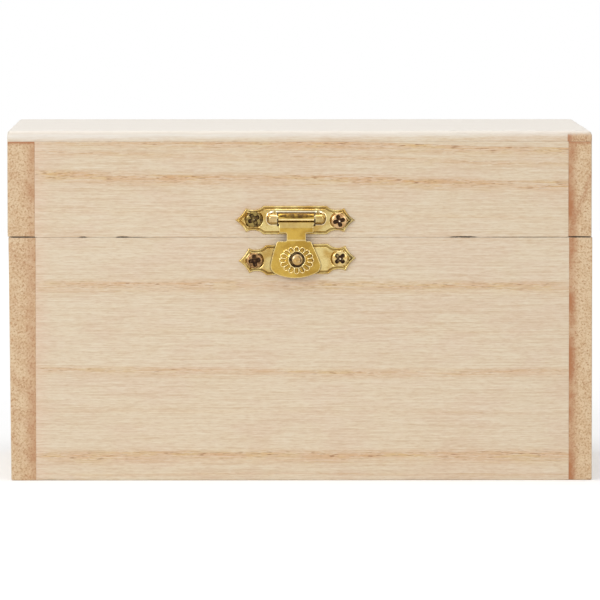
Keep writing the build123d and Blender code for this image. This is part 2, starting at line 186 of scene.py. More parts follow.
class Shader:
    """A material's node tree, with short calls for the nodes that the finishes are made of."""

    def __init__(self, name):
        self.material = bpy.data.materials.new(name)
        self.material.use_nodes = True
        self.tree = self.material.node_tree
        self.surface = self.tree.nodes["Principled BSDF"]
        self.coordinates = self.tree.nodes.new("ShaderNodeTexCoord")

    def node(self, kind, inputs, **settings):
        made = self.tree.nodes.new("ShaderNode" + kind)
        for name, value in settings.items():
            setattr(made, name, value)
        for socket, value in inputs.items():
            self.fill(made.inputs[socket], value)
        return made

    def fill(self, socket, value):
        if isinstance(value, bpy.types.NodeSocket):
            self.tree.links.new(value, socket)
        else:
            socket.default_value = value

    def math(self, operation, first, second=0.0, third=0.0, clamp=False):
        inputs = {0: first, 1: second, 2: third}
        return self.node("Math", inputs, operation=operation, use_clamp=clamp).outputs[0]

    def parts(self, vector):
        return self.node("SeparateXYZ", {0: vector}).outputs

    def vector(self, *values):
        return self.node("CombineXYZ", dict(enumerate(values))).outputs[0]

    def stretched(self, axes, sizes):
        """Coordinates measured in the given sizes along each axis."""
        scaled = [self.math("DIVIDE", axis, size) for axis, size in zip(axes, sizes)]
        return self.vector(*scaled)

    def noise(self, vector, detail, roughness=0.5):
        inputs = {"Vector": vector, "Scale": 1.0, "Detail": detail, "Roughness": roughness}
        return self.node("TexNoise", inputs).outputs["Fac"]

    def between(self, value, low, high, to_low=0.0, to_high=1.0, smooth=True):
        """The value from low to high, as a share from to_low to to_high."""
        inputs = {0: value, 1: low, 2: high, 3: to_low, 4: to_high}
        kind = "SMOOTHSTEP" if smooth else "LINEAR"
        return self.node("MapRange", inputs, interpolation_type=kind).outputs[0]

    def ramp(self, value, stops):
        """A share read off given stops of (place, share)."""
        made = self.node("ValToRGB", {0: value})
        elements = made.color_ramp.elements
        while len(elements) < len(stops):
            elements.new(0.5)
        for element, (place, share) in zip(elements, stops):
            element.position = place
            element.color = (share, share, share, 1)
        return made.outputs[0]

    def mix(self, share, first, second):
        inputs = {0: share, 6: first, 7: second}
        return self.node("Mix", inputs, data_type="RGBA", clamp_factor=True).outputs[2]

    def set(self, **sockets):
        for name, value in sockets.items():
            self.fill(self.surface.inputs[name.replace("_", " ")], value)

    def bump(self, height, distance, strength):
        inputs = {"Strength": strength, "Distance": distance, "Height": height}
        self.set(Normal=self.node("Bump", inputs).outputs[0])


ring_fade_shares = (1.6, 0.8)


def band_stops(bands, low, high):
    """Ramp stops for growth rings of (level, half width, strength), soft below, sharp above."""
    stops = [(0.0, 0.0)]
    for level, half, strength in bands:
        place = (level - low) / (high - low)
        below, above = (share * half / (high - low) for share in ring_fade_shares)
        stops += [(place - below, 0.0), (place, strength), (place + above, 0.0)]
    return stops


pale_wood = colour(224, 206, 179)
pinkish_wood = colour(220, 196, 171)
# Painted sheen: the whitish colour that the panels' faces and edges take in place of lit wood
sheen_wood = colour(238, 236, 231)
band_wood = colour(211, 168, 124)
golden_wood = colour(213, 176, 118)
fibre_shade = colour(205, 174, 137)
fibre_light = colour(233, 221, 200)
pore_shade = colour(168, 124, 88)
end_wood = colour(213, 182, 144)
end_speck = colour(176, 128, 86)
end_light = colour(228, 204, 169)
joint_brown = colour(178, 120, 80)
blushed_wood = colour(226, 196, 170)
# Painted shade: the greyer colour of the panels' rounded arrises
arris_shade_wood = colour(212, 200, 184)
# Painted shade: the dark of the seam's gap between lid and base, painted on the boards' arrises
seam_shade = colour(62, 38, 20)
# Patterns of the grain: how long they are and how wide, their detail and their roughness
grains = {
    "wander": (70 * mm, 20 * mm, 2.0, 0.5),
    "ragged": (6 * mm, 0.5 * mm, 3.0, 0.6),
    "fading": (22 * mm, 1.5 * mm, 2.0, 0.5),
    "fibres": (14 * mm, 0.27 * mm, 2.0, 0.6),
    "strands": (2.2 * mm, 0.32 * mm, 3.0, 0.7),
    "lines": (60 * mm, 1 * mm, 2.0, 0.5),
    "dashes": (2.4 * mm, 0.26 * mm, 1.0, 0.5),
    "mottle": (14 * mm, 6 * mm, 3.0, 0.5),
    "gilding": (9 * mm, 2 * mm, 2.0, 0.5),
    "specks": (4 * mm, 0.5 * mm, 3.0, 0.75),
    "patches": (20 * mm, 2.6 * mm, 2.0, 0.5),
    "blotches": (20 * mm, 7 * mm, 2.0, 0.5),
    "stain_edge": (20 * mm, 0.7 * mm, 3.0, 0.75),
    "glue_edge": (20 * mm, 0.6 * mm, 3.0, 0.7),
    "scrub_edge": (9 * mm, 0.9 * mm, 3.0, 0.6),
}
# What shades the wood: a pattern, where on it the shade starts and is full, its strength and tone
fibre_shares = (
    ("lines", 0.52, 0.72, 0.25, fibre_shade),
    ("fibres", 0.5, 0.7, 0.42, fibre_shade),
    ("fibres", 0.5, 0.3, 0.42, fibre_light),
    ("strands", 0.5, 0.68, 0.42, fibre_shade),
    ("strands", 0.5, 0.32, 0.42, fibre_light),
)
speck_shares = (("specks", 0.5, 0.66, 0.85, end_speck), ("specks", 0.48, 0.34, 0.7, end_light))
ring_wander = 2.4 * mm
seam_shade_spot = 0.7 * mm
grain_relief = 0.03 * mm
# The dark line of glue under the top panel, on the sides' end grain
glue_wander = 0.9 * mm
glue_foot = 0.55 * mm
glue_head = 0.3 * mm
# The panels' edges take painted light above, whitening them, and fade to bare wood between the two
# heights
edge_sheen_heights = (87.9 * mm, 89.9 * mm)
edge_sheen_share = 0.62
edge_sheen_drift = -0.0085
edge_sheen_wander = 1.2 * mm


class Wood(Shader):
    """Bare sanded wood. axes are the board's directions along the grain, across and through."""

    def __init__(self, name, axes):
        super().__init__(name)
        self.here = self.parts(self.coordinates.outputs["Object"])
        facing = self.parts(self.coordinates.outputs["Normal"])
        self.along, self.across, self.through = (self.here["XYZ".index(axis)] for axis in axes)
        self.end_on = self.math("ABSOLUTE", facing["XYZ".index(axes[0])])
        self.face_on = self.math("ABSOLUTE", facing["XYZ".index(axes[2])])
        self.patterns = {}

    def grain(self, which):
        """One of the patterns of the grain, made once for each board."""
        if which not in self.patterns:
            length, width, detail, roughness = grains[which]
            axes = (self.along, self.across, self.through)
            place = self.stretched(axes, (length, width, width))
            self.patterns[which] = self.noise(place, detail, roughness)
        return self.patterns[which]

    def shaded(self, wood, shares):
        for which, start, full, strength, tone in shares:
            share = self.between(self.grain(which), start, full, 0.0, strength)
            wood = self.mix(share, wood, tone)
        return wood

    def rings(self, span, bands, drift, lean):
        """The darker growth rings, which wander, break up and fade along the board."""
        wander = self.math("MULTIPLY_ADD", self.grain("wander"), ring_wander, -ring_wander / 2)
        level = self.math("MULTIPLY_ADD", self.along, drift, self.across)
        level = self.math("MULTIPLY_ADD", self.through, lean, level)
        level = self.math("ADD", level, wander)
        place = self.between(level, *span, smooth=False)
        band = self.ramp(place, band_stops(bands, *span))
        band = self.math("MULTIPLY", band, self.between(self.grain("ragged"), 0.3, 0.7, 0.7, 1.25))
        return self.math("MULTIPLY", band, self.between(self.grain("fading"), 0.3, 0.62, 0.6, 1.15))

    def long_grain(self, band, tan, blush):
        """The colour of the faces along the fibres, without the pores."""
        mottle = self.between(self.grain("mottle"), 0.42, 0.62, 0.0, 0.6)
        wood = self.mix(mottle, pale_wood, pinkish_wood)
        tone = self.mix(self.between(self.grain("gilding"), 0.5, 0.62), band_wood, golden_wood)
        wood = self.mix(self.math("MULTIPLY", band, 0.85, clamp=True), wood, tone)
        if tan:
            wood = self.mix(tan, wood, golden_wood)
        if blush:
            wood = self.mix(self.between(self.along, *blush, 0.0, 0.6), wood, blushed_wood)
        return self.shaded(wood, fibre_shares)

    def end_grain(self, band):
        """The speckled colour of the faces across the fibres."""
        patches = self.between(self.grain("patches"), 0.4, 0.62, 0.0, 0.5)
        end = self.mix(patches, end_wood, end_light)
        end = self.mix(self.math("MULTIPLY", band, 0.55, clamp=True), end, joint_brown)
        return self.shaded(end, speck_shares)

    def stained(self, end, inner, outer, strength, reach):
        """End grain that is browner from the inner distance off the middle to the outer one."""
        blotches = self.between(self.grain("blotches"), 0.35, 0.62, 0.45, 1.0)
        uneven = self.math("MULTIPLY_ADD", self.grain("stain_edge"), reach, -0.5 * reach)
        depth = self.math("ADD", self.math("ABSOLUTE", self.through), uneven)
        share = self.between(depth, outer, inner, 0.0, strength)
        return self.mix(self.math("MULTIPLY", share, blotches, clamp=True), end, joint_brown)

    def glued(self, end, height, strength):
        """End grain with the glue's dark line at a height."""
        level = self.math("MULTIPLY_ADD", self.grain("glue_edge"), glue_wander, self.across)
        share = self.between(level, height - glue_foot, height + glue_head, 0.0, strength)
        return self.mix(share, end, joint_brown)

    def sheened(self, wood, sheen_share):
        """A panel's wood, whitened by painted sheen on its faces and along the top of its edges,
        with painted shade on its arrises.
        """
        flat = self.between(self.face_on, 0.5, 0.98)
        wear_and_light = self.math("MULTIPLY", self.between(self.grain("strands"), 0.3, 0.7, 1.12, 0.88), sheen_share)
        level = self.math("MULTIPLY_ADD", self.along, edge_sheen_drift, self.through)
        level = self.math("MULTIPLY_ADD", self.grain("scrub_edge"), edge_sheen_wander, level)
        edge = self.between(level, *edge_sheen_heights, 0.0, edge_sheen_share)
        share = self.math("MAXIMUM", self.math("MULTIPLY", flat, wear_and_light), edge)
        wood = self.mix(share, wood, sheen_wood)
        arris = self.math("PINGPONG", self.between(self.face_on, 0.1, 0.99, smooth=False), 0.5)
        return self.mix(self.between(arris, 0.1, 0.4, 0.0, 0.5), wood, arris_shade_wood)

    def seam_shaded(self, wood):
        """Wood with painted shade along the seam where the board has it."""
        seam_shade_here = self.node("Attribute", {}, attribute_name="dirt_and_shade").outputs["Fac"]
        spots = self.noise(self.stretched(self.here, (seam_shade_spot,) * 3), 2)
        share = self.math("MULTIPLY", seam_shade_here, self.between(spots, 0.35, 0.5, 0.4, 1.0), clamp=True)
        return self.mix(share, wood, seam_shade)


def bare_wood(name, axes, span, bands, drift=0.0, lean=0.0, stain=None, glue=None, tan=0.0,
              blush=None, sheen_share=0.0, overlay=None, rough=(0.58, 0.7)):
    """A board's finish. span holds its lowest and highest growth level, and bands its darker
    rings, which run off along the board by drift and through its thickness by lean. stain and
    glue are what the two methods of those kinds take, blush is where the wood reddens along the
    board, the sheen share how much painted sheen whitens its faces and the top of its edges, and
    overlay a function that colours a place of its own."""
    made = Wood(name, axes)
    band = made.rings(span, bands, drift, lean)
    wood = made.long_grain(band, tan, blush)
    by_ring = made.math("MULTIPLY_ADD", made.math("POWER", band, 2.0, clamp=True), 1.1, 0.08)
    pores = made.between(made.grain("dashes"), 0.56, 0.68)
    wood = made.mix(made.math("MULTIPLY", pores, by_ring, clamp=True), wood, pore_shade)
    end = made.end_grain(band)
    if stain:
        end = made.stained(end, *stain)
    if glue:
        end = made.glued(end, *glue)
    wood = made.mix(made.between(made.end_on, 0.6, 0.9), wood, end)
    if sheen_share:
        wood = made.sheened(wood, sheen_share)
    if overlay:
        wood = overlay(made, wood)

    pits = made.between(made.math("MULTIPLY", made.grain("dashes"), by_ring), 0.3, 0.1)
    relief = made.math("MULTIPLY_ADD", made.grain("strands"), 0.7, made.grain("fibres"))
    made.bump(made.math("ADD", relief, pits), grain_relief, 0.6)
    made.set(
        Base_Color=made.seam_shaded(wood),
        Roughness=made.between(made.grain("lines"), 0.3, 0.7, *rough),
        Specular_IOR_Level=0.4,
        Sheen_Weight=0.25,
        Sheen_Roughness=0.4,
        Sheen_Tint=(1, 0.98, 0.95, 1),
    )
    return made.material


base_span = (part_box("base_front")[0][2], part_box("base_front")[1][2])
base_rings = (
    (1.6 * mm, 0.35 * mm, 0.5),
    (6.9 * mm, 2.1 * mm, 0.85),
    (18.0 * mm, 0.7 * mm, 0.2),
    (28.4 * mm, 1.5 * mm, 0.65),
    (38.5 * mm, 0.6 * mm, 0.15),
    (50.5 * mm, 1.9 * mm, 0.8),
)
joint_blush = (-63 * mm, -68.5 * mm)
front_wood = bare_wood(
    "front_board_wood", "XZY", base_span, base_rings, drift=0.002, blush=joint_blush
)
back_wood = bare_wood("back_board_wood", "XZY", base_span, base_rings[1:4], drift=-0.02)

# The sides' end grain is stained next to the joints, by glue and by darker wood
side_span = (-135 * mm, 150 * mm)
walls_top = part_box("lid_left_side")[1][2]
left_rings = (
    (-56 * mm, 2.2 * mm, 0.5),
    (-48 * mm, 2.2 * mm, 0.5),
    (-39.5 * mm, 2.4 * mm, 0.45),
    (-30 * mm, 2.4 * mm, 0.3),
    (-20 * mm, 3 * mm, 0.35),
    (-8 * mm, 3 * mm, 0.5),
    (12 * mm, 4 * mm, 0.4),
)
right_rings = ((-126 * mm, 2.6 * mm, 1.0), (-105 * mm, 3 * mm, 0.4))
# How far from the box's middle the stain is full and gone, its strength, and how uneven it is
left_stain = (68.2 * mm, 71.8 * mm, 0.55, 2.4 * mm)
right_stain = (69.4 * mm, 71.8 * mm, 1.0, 2.4 * mm)
side_woods = {
    "left": bare_wood(
        "left_board_wood", "YZX", side_span, left_rings, lean=0.9, stain=left_stain,
        glue=(walls_top, 0.9),
    ),
    "right": bare_wood(
        "right_board_wood", "YZX", side_span, right_rings, lean=-2.75, stain=right_stain,
        glue=(walls_top, 0.7),
    ),
}
# Chips out of an arris, as their middle, half length and depth
foot_chip = (-64.5 * mm, 2.6 * mm, 0.35 * mm)
seam_chips = (
    (-55.7 * mm, 0.9 * mm, 0.1 * mm),
    (-45.7 * mm, 1.4 * mm, 0.1 * mm),
    (41.8 * mm, 3.3 * mm, 0.12 * mm),
)
seam_ease = 0.05 * mm
hidden_seam_ease = 0.12 * mm
side_seam_ease = 0.15 * mm
left_board_taper = 0.6 * mm
seam_height = (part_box("base_front")[1][2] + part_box("lid_front")[0][2]) / 2
# How far up and down, and in from the front, the seam's painted shade reaches
seam_shade_rise = 0.15 * mm
seam_shade_depth = 0.3 * mm
# Stretches of the front seam, as middle, half length and how dark the painted shade in it is
shaded_stretches = (
    (-73.4 * mm, 0.9 * mm, 1.0),
    (-70.7 * mm, 1.5 * mm, 1.0),
    (-68.4 * mm, 0.8 * mm, 0.6),
    (-55.7 * mm, 0.9 * mm, 0.9),
    (-45.7 * mm, 1.5 * mm, 1.0),
    (-42.0 * mm, 2.2 * mm, 0.45),
    (41.8 * mm, 3.4 * mm, 1.0),
    (57.5 * mm, 10.5 * mm, 0.4),
    (71.5 * mm, 3.4 * mm, 1.0),
)


def seam_shade_at(places):
    """How much painted shade the boards' front arrises take where the lid meets the base."""
    at_seam = abs(places[:, 2] - seam_height) < seam_shade_rise
    at_front = places[:, 1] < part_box("base_front")[0][1] + seam_shade_depth
    share = np.zeros(len(places))
    for middle, half, strength in shaded_stretches:
        share = np.maximum(share, strength * np.exp(-(((places[:, 0] - middle) / half) ** 8)))
    return share * at_seam * at_front


def left_taper(places):
    """The base's left board is sawn a little out of square: narrower towards its foot."""
    low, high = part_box("base_left_side")
    rise = (places[:, 2] - low[2]) / (high[2] - low[2])
    out = np.clip((high[0] - places[:, 0]) / (high[0] - low[0]), 0, 1)
    return left_board_taper * (1 - rise) * out


board("base_front", "base", front_wood, 1,
      eases={"front bottom": sanded_arris, "front top": seam_ease},
      chips={"front bottom": [foot_chip], "front top": seam_chips}, dirt_and_shade=seam_shade_at)
board("base_back", "base", back_wood, 2,
      eases={"back bottom": sanded_arris, "back top": hidden_seam_ease})
for seed, side in enumerate(("left", "right")):
    side_eases = {f"{side} top": hidden_seam_ease, "front top": side_seam_ease}
    for arris in (f"{side} front", f"{side} back", f"{side} bottom", "front bottom", "back bottom"):
        side_eases[arris] = sanded_arris
    board(f"base_{side}_side", "base", side_woods[side], seed + 3, grain_axis=1,
          eases=side_eases, dirt_and_shade=seam_shade_at, taper=left_taper if side == "left" else None)

# Bottom panel
# A thin panel of the same wood, let in flush between the four boards.
panel_span = (-45 * mm, 45 * mm)
panel_rings = ((-28 * mm, 1.6 * mm, 0.5), (-4 * mm, 1.2 * mm, 0.4), (19 * mm, 1.8 * mm, 0.6))
# Its faces take a little painted sheen
bottom_wood = bare_wood("bottom_panel_wood", "XYZ", panel_span, panel_rings, drift=0.01, sheen_share=0.2)
board("base_bottom_panel", "base", bottom_wood, 5)

# Lid boards
# The lid's four walls, cut from the same stock and glued the same way. The front one nearly
# meets the base, but for a few stretches where the seam opens.
lid_span = (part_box("lid_front")[0][2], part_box("lid_front")[1][2])
lid_rings = (
    (68.6 * mm, 0.8 * mm, 0.2),
    (77.6 * mm, 1.8 * mm, 1.0),
    (83.1 * mm, 1.2 * mm, 0.5),
    (87.2 * mm, 2.1 * mm, 1.0),
)
lid_front_wood = bare_wood(
    "lid_front_wood", "XZY", lid_span, lid_rings, drift=0.0196, tan=0.04, blush=joint_blush
)
lid_back_wood = bare_wood("lid_back_wood", "XZY", lid_span, lid_rings, drift=-0.03, tan=0.04)
seam_close = 0.17 * mm
seam_depth = 1.5 * mm
seam_ripples = (0.63 * mm, 1.7 * mm, 5.1 * mm)
seam_ripple_share = 0.08
# Stretches where the seam opens, as middle, half length and how much of the sag is gone
open_stretches = (
    (-55.7 * mm, 0.9 * mm, 1.0),
    (-45.7 * mm, 1.5 * mm, 1.0),
    (-42.0 * mm, 2.2 * mm, 0.45),
    (41.8 * mm, 3.4 * mm, 1.0),
    (57.5 * mm, 9.0 * mm, 0.3),
)


def seam_sag(places, low):
    """How far the board reaches down towards the base, at each place."""
    x = places[:, 0]
    closed = np.full(len(places), seam_close)
    for middle, half, share in open_stretches:
        closed *= 1 - share * np.exp(-(((x - middle) / half) ** 6))
    dotted = np.prod([np.sin(x / length) for length in seam_ripples], axis=0)
    closed *= 1 - seam_ripple_share * (1 - dotted)
    return closed * np.clip(1 - (places[:, 2] - low[2]) / seam_depth, 0, 1)


board("lid_front", "lid", lid_front_wood, 6,
      eases={"front bottom": seam_ease}, chips={"front bottom": seam_chips}, sag=seam_sag,
      dirt_and_shade=seam_shade_at)
board("lid_back", "lid", lid_back_wood, 7, eases={"back bottom": hidden_seam_ease})
for seed, side in enumerate(("left", "right")):
    side_eases = {f"{side} front": sanded_arris, f"{side} back": sanded_arris,
                  f"{side} bottom": hidden_seam_ease, "front bottom": side_seam_ease}
    board(f"lid_{side}_side", "lid", side_woods[side], seed + 8, grain_axis=1,
          eases=side_eases, dirt_and_shade=seam_shade_at)

# Top panel
# A 2.8 mm panel glued over the lid's walls and sanded flush. Its front arris is well rounded, its
# right end more than its left, and brown end grain shows at the right of its front edge.
top_rings = ((-30 * mm, 1.6 * mm, 0.4), (-8 * mm, 1.2 * mm, 0.3), (17 * mm, 1.8 * mm, 0.5))
top_long_ease = 1.5 * mm
top_left_ease = 0.7 * mm
top_right_ease = 1.3 * mm
brown_start = 68.4 * mm
brown_fade = 0.3 * mm
brown_foot = 89.3 * mm
brown_head = 90.5 * mm
brown_share = 0.9
brown_wander = 1.6 * mm
fleck_size = 0.5 * mm
streak_full = 67.8 * mm
streak_end = 69.6 * mm
streak_wander = 2 * mm


def browned_end(made, wood):
    """The panel's wood, with brown end grain low on the right end of its edge."""
    fleck = made.noise(made.stretched(made.here, (fleck_size,) * 3), 3, 0.75)
    level = made.math("MULTIPLY_ADD", fleck, brown_wander, made.through)
    share = made.between(level, brown_head, brown_foot, 0.0, brown_share)
    at_end = made.between(made.along, brown_start, brown_start + brown_fade)
    brown = made.mix(made.between(fleck, 0.42, 0.62), end_wood, end_speck)
    streak = made.math("MULTIPLY_ADD", fleck, -streak_wander, made.along)
    brown = made.mix(made.between(streak, streak_end, streak_full), brown, joint_brown)
    return made.mix(made.math("MULTIPLY", share, at_end), wood, brown)


top_wood = bare_wood(
    "top_panel_wood", "XYZ", panel_span, top_rings, drift=0.02, sheen_share=0.5, overlay=browned_end,
    rough=(0.42, 0.52),
)
top_eases = {"front top": top_long_ease, "back top": top_long_ease, "left top": top_left_ease,
             "right top": top_right_ease}
for arris in ("left front", "right front", "left back", "right back"):
    top_eases[arris] = sanded_arris
board("lid_top_panel", "lid", top_wood, 10, eases=top_eases)

# Clasp's lower plate
# Stamped brass: a low brim round a raised field, with a pointed, hollow-sided end past each
# screw. Two screws hold it to the base, behind the flap and turned a little from level.
front_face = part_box("base_front")[0][1]
outline_pitch = 0.2 * mm
lower_length = 30.2 * mm
lower_height = 7.7 * mm
lower_turn = math.radians(1.4)
screw_spacing = 21.9 * mm
# A quarter of the outline, as shares of the half length and height: the tip, the hollow side of
# the point, its shoulder, the notch behind the screw, and the long edge
quarter_shares = ((1.0, 0.0), (0.895, 0.36), (0.82, 0.84), (0.675, 0.71), (0.53, 1.0))
# How far in from the edge, and how far out from the wood
stamped_profile = np.array(
    (
        (0.0, 0.3), (0.05, 0.45), (0.12, 0.52), (0.3, 0.53), (0.4, 0.46), (0.5, 0.36),
        (0.6, 0.37), (0.7, 0.52), (0.84, 0.82), (0.94, 0.88), (1.1, 0.88),
    )
) * mm
seat_profile = np.array(((0.0, 0.6), (2.1, 0.6), (2.2, 0.64), (2.45, 0.86), (2.6, 0.95))) * mm
groove_inset = 0.61 * mm
groove_width = 0.14 * mm
# Painted highlights: a bright line on the field's shoulder and a fainter one along the brim
highlight_inset = 0.82 * mm
highlight_width = 0.1 * mm
rim_highlight_share = 0.75
brim_inset = 0.2 * mm
brim_width = 0.12 * mm
brim_highlight_share = 0.3
groove_dark_share = 0.4
# The left tips take a painted highlight and the right ones painted shade
tip_light_share = 0.5
tip_start = 12.6 * mm
tip_fade = 1.2 * mm
sheet_pitch = 0.2 * mm
least_gap = 0.03 * mm
join_millimetres = 1e-4
ring_clearance = 0.05 * mm
ring_room_share = 0.97
metal_smooth_degrees = 50


def arc(start, middle, end):
    """Points on the circle through three places, from start up to but without end."""
    share = (end - start) / (middle - start)
    centre = start - (start - middle) * (share - abs(share) ** 2) / (2j * share.imag)
    sweep = cmath.phase((middle - centre) / (start - centre))
    sweep += cmath.phase((end - centre) / (middle - centre))
    count = max(2, round(abs(sweep * (start - centre)) / outline_pitch))
    return centre + (start - centre) * np.exp(1j * np.arange(count) * sweep / count)


def run(start, end):
    """Points on a straight line, from start up to but without end."""
    count = max(1, round(abs(end - start) / outline_pitch))
    return start + (end - start) * np.arange(count) / count


def circle(centre, radius):
    """Points round a circle, anticlockwise."""
    count = round(2 * math.pi * radius / outline_pitch)
    return centre + radius * np.exp(2j * math.pi * np.arange(count) / count)


def plate_outline(length, height):
    """The stamped plate's edge, anticlockwise from its right tip."""
    line = []
    for side, level in ((1, 1), (-1, 1), (-1, -1), (1, -1)):
        tip, hollow, spur, notch, edge = (
            complex(side * x * length / 2, level * z * height / 2) for x, z in quarter_shares
        )
        if side == level:
            line += [arc(tip, hollow, spur), arc(spur, notch, edge), run(edge, -edge.conjugate())]
        else:
            line += [arc(edge, notch, spur), arc(spur, hollow, tip)]
    return np.concatenate(line)


def from_edges(points, loops):
    """How far each point is from the nearest edge, and whether it is on the sheet."""
    distance = np.full(len(points), np.inf)
    inside = np.zeros(len(points), bool)
    for loop in loops:
        for start, end in zip(loop, np.roll(loop, -1)):
            step = end - start
            share = np.clip(((points - start) * step.conjugate()).real / abs(step) ** 2, 0, 1)
            distance = np.minimum(distance, abs(points - start - share * step))
            if step.imag:
                over = (start.imag > points.imag) != (end.imag > points.imag)
                slope = step.real / step.imag
                crossing = start.real + (points.imag - start.imag) * slope
                inside ^= over & (points.real < crossing)
    return distance, inside


def inset_rings(loops, insets):
    """Points on lines inset from the edges, where no other edge is nearer."""
    rings = []
    for loop in loops:
        ahead = np.roll(loop, -1) - loop
        square = 1j * ahead / abs(ahead)
        mitre = (square + np.roll(square, 1)) / 2
        rings += [loop + inset * mitre / abs(mitre) ** 2 for inset in insets]
    spots = np.concatenate(rings)
    wanted = np.repeat(np.tile(insets, len(loops)), [len(loop) for loop in loops for _ in insets])
    distance, inside = from_edges(spots, loops)
    return spots[inside & (distance > ring_room_share * wanted)]


def grid(low, high, pitch):
    """Points a pitch apart between two corners, every second row set over by half."""
    rows = np.arange(low.imag, high.imag, pitch)
    columns = np.arange(low.real, high.real, pitch)
    across, up = np.meshgrid(columns, rows)
    across[1::2] += pitch / 2
    return (across + 1j * up).ravel()


def sheet_mesh(loops, spots):
    """Flat points and triangles over the loops, which are edges, and the spots between them."""
    first = np.cumsum([0] + [len(loop) for loop in loops])
    edges = [
        (int(start + n), int(start + (n + 1) % len(loop)))
        for start, loop in zip(first, loops)
        for n in range(len(loop))
    ]
    _, kept = np.unique(np.round(spots / least_gap), return_index=True)
    points = np.concatenate([*loops, spots[np.sort(kept)]]) / mm
    vectors = [Vector((point.real, point.imag)) for point in points]
    flat, _, faces, _, _, _ = delaunay_2d_cdt(vectors, edges, [], 0, join_millimetres)
    flat = np.array([complex(*place) for place in flat]) * mm
    faces = np.array(faces)
    on_sheet = from_edges(flat[faces].mean(1), loops)[1]
    used, faces = np.unique(faces[on_sheet], return_inverse=True)
    return flat[used], faces.reshape(-1, 3)


def pressed_sheet(name, loops, insets, spots, shape, material):
    """A closed sheet of metal. shape gives the front places, back places and a share that is tarnish
    and painted shade above zero, and painted highlight below.
    """
    distance, on_sheet = from_edges(spots, loops)
    spots = spots[on_sheet & (distance > max(insets) + ring_clearance)]
    flat, faces = sheet_mesh(loops, np.concatenate([inset_rings(loops, insets), spots]))
    front, back, tarnish_and_light = shape(flat, from_edges(flat, loops)[0])
    sides = np.concatenate([faces[:, [0, 1]], faces[:, [1, 2]], faces[:, [2, 0]]])
    paired = {(int(a), int(b)) for a, b in sides}
    edge = [(a, b) for a, b in paired if (b, a) not in paired]
    count = len(flat)
    walls = [(b, a, a + count, b + count) for a, b in sorted(edge)]
    polygons = [*map(tuple, faces), *map(tuple, faces[:, ::-1] + count), *walls]
    places = np.concatenate([front, back])
    piece = piece_from(name, places, polygons, material, metal_smooth_degrees)
    keep_shares(piece, "tarnish_and_light", np.tile(tarnish_and_light, 2))
    return piece


def on_front(points, out, centre, turn=0.0):
    """Places on the box's front, standing out from it."""
    turned = points * cmath.exp(1j * turn) + centre
    return np.stack([turned.real, front_face - out, turned.imag], -1)


def near(distance, width):
    """A soft share: 1 at no distance, falling off over the width."""
    return np.exp(-((distance / width) ** 2))


def stamped(points, inset, screws):
    """How far the stamped plate stands out, its darker groove, and the painted light on its rims and
    tips.
    """
    out = np.interp(inset, *stamped_profile.T)
    for screw in screws:
        out = np.minimum(out, np.interp(abs(points - screw), *seat_profile.T))
    tarnish_and_light = groove_dark_share * near(inset - groove_inset, groove_width)
    tarnish_and_light -= rim_highlight_share * near(inset - highlight_inset, highlight_width)
    tarnish_and_light -= brim_highlight_share * near(inset - brim_inset, brim_width)
    beyond = np.clip((abs(points.real) - tip_start) / tip_fade, 0, 1)
    return out, tarnish_and_light + tip_light_share * beyond * np.sign(points.real)


# Painted highlight: the pale colour put on ridges and edges in place of bright reflections
metal_highlight = colour(255, 248, 226)
# The brown of tarnish and of painted shade, shadows and dark reflections
dirt_and_shade_brown = colour(58, 34, 14)
wide_cloud = 3.5 * mm
pit_size = 0.16 * mm
patch_size = 0.9 * mm
scratch_sizes = (1.6 * mm, 0.5 * mm, 0.09 * mm)
metal_relief = 0.012 * mm


def metal(name, tint, shade, roughness, stipple=0.0, cloud=wide_cloud, shaded_below=None,
          painted_highlight=metal_highlight):
    """Bright plated or tarnished metal, cloudy and pitted at its own small scale. The piece's
    shares are above zero where it takes tarnish and painted shade, and below zero where it takes a
    painted highlight. The recess places, if given, are the two places, going back through the box,
    between which painted shade in a recess gives way to metal."""
    made = Shader(name)
    spot = made.parts(made.coordinates.outputs["Object"])
    clouds = made.noise(made.stretched(spot, (cloud,) * 3), 3)
    pits = made.noise(made.stretched(spot, (pit_size,) * 3), 2)
    scratches = made.noise(made.stretched(spot, scratch_sizes), 2)
    patches = made.noise(made.stretched(spot, (patch_size,) * 3), 3, 0.6)
    body = made.mix(made.between(clouds, 0.38, 0.62), tint, shade)
    wear_and_light = made.node("Attribute", {}, attribute_name="tarnish_and_light").outputs["Fac"]
    dirt_and_shade = made.math("MULTIPLY", wear_and_light, made.between(patches, 0.3, 0.6, 0.65, 1.15), clamp=True)
    bright = made.math("MULTIPLY", wear_and_light, made.between(patches, 0.3, 0.6, -1.1, -0.8), clamp=True)
    # Painted shade deep in a recess
    if shaded_below:
        dirt_and_shade = made.math("MAXIMUM", dirt_and_shade, made.between(spot["Y"], *shaded_below, 0.85, 0.0))
    body = made.mix(bright, body, painted_highlight)
    body = made.mix(dirt_and_shade, body, dirt_and_shade_brown)
    rough = made.between(scratches, 0.3, 0.7, 0.8 * roughness, 1.3 * roughness)
    rough = made.math("MULTIPLY_ADD", dirt_and_shade, 0.3, rough)
    scratched = made.math("MULTIPLY", scratches, 0.12)
    made.bump(made.math("MULTIPLY_ADD", pits, stipple, scratched), metal_relief, 1.0)
    made.set(Base_Color=body, Metallic=1.0, Roughness=rough, Coat_Weight=0.2, Coat_Roughness=0.06)
    return made.material


plate_brass = metal("plate_brass", colour(210, 188, 126), colour(184, 150, 80), 0.17, stipple=1.0)
lower_low, lower_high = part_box("latch_lower_plate")
lower_centre = complex((lower_low[0] + lower_high[0]) / 2, (lower_low[2] + lower_high[2]) / 2)
lower_screws = [-screw_spacing / 2, screw_spacing / 2]
plate_insets = stamped_profile[1:, 0]

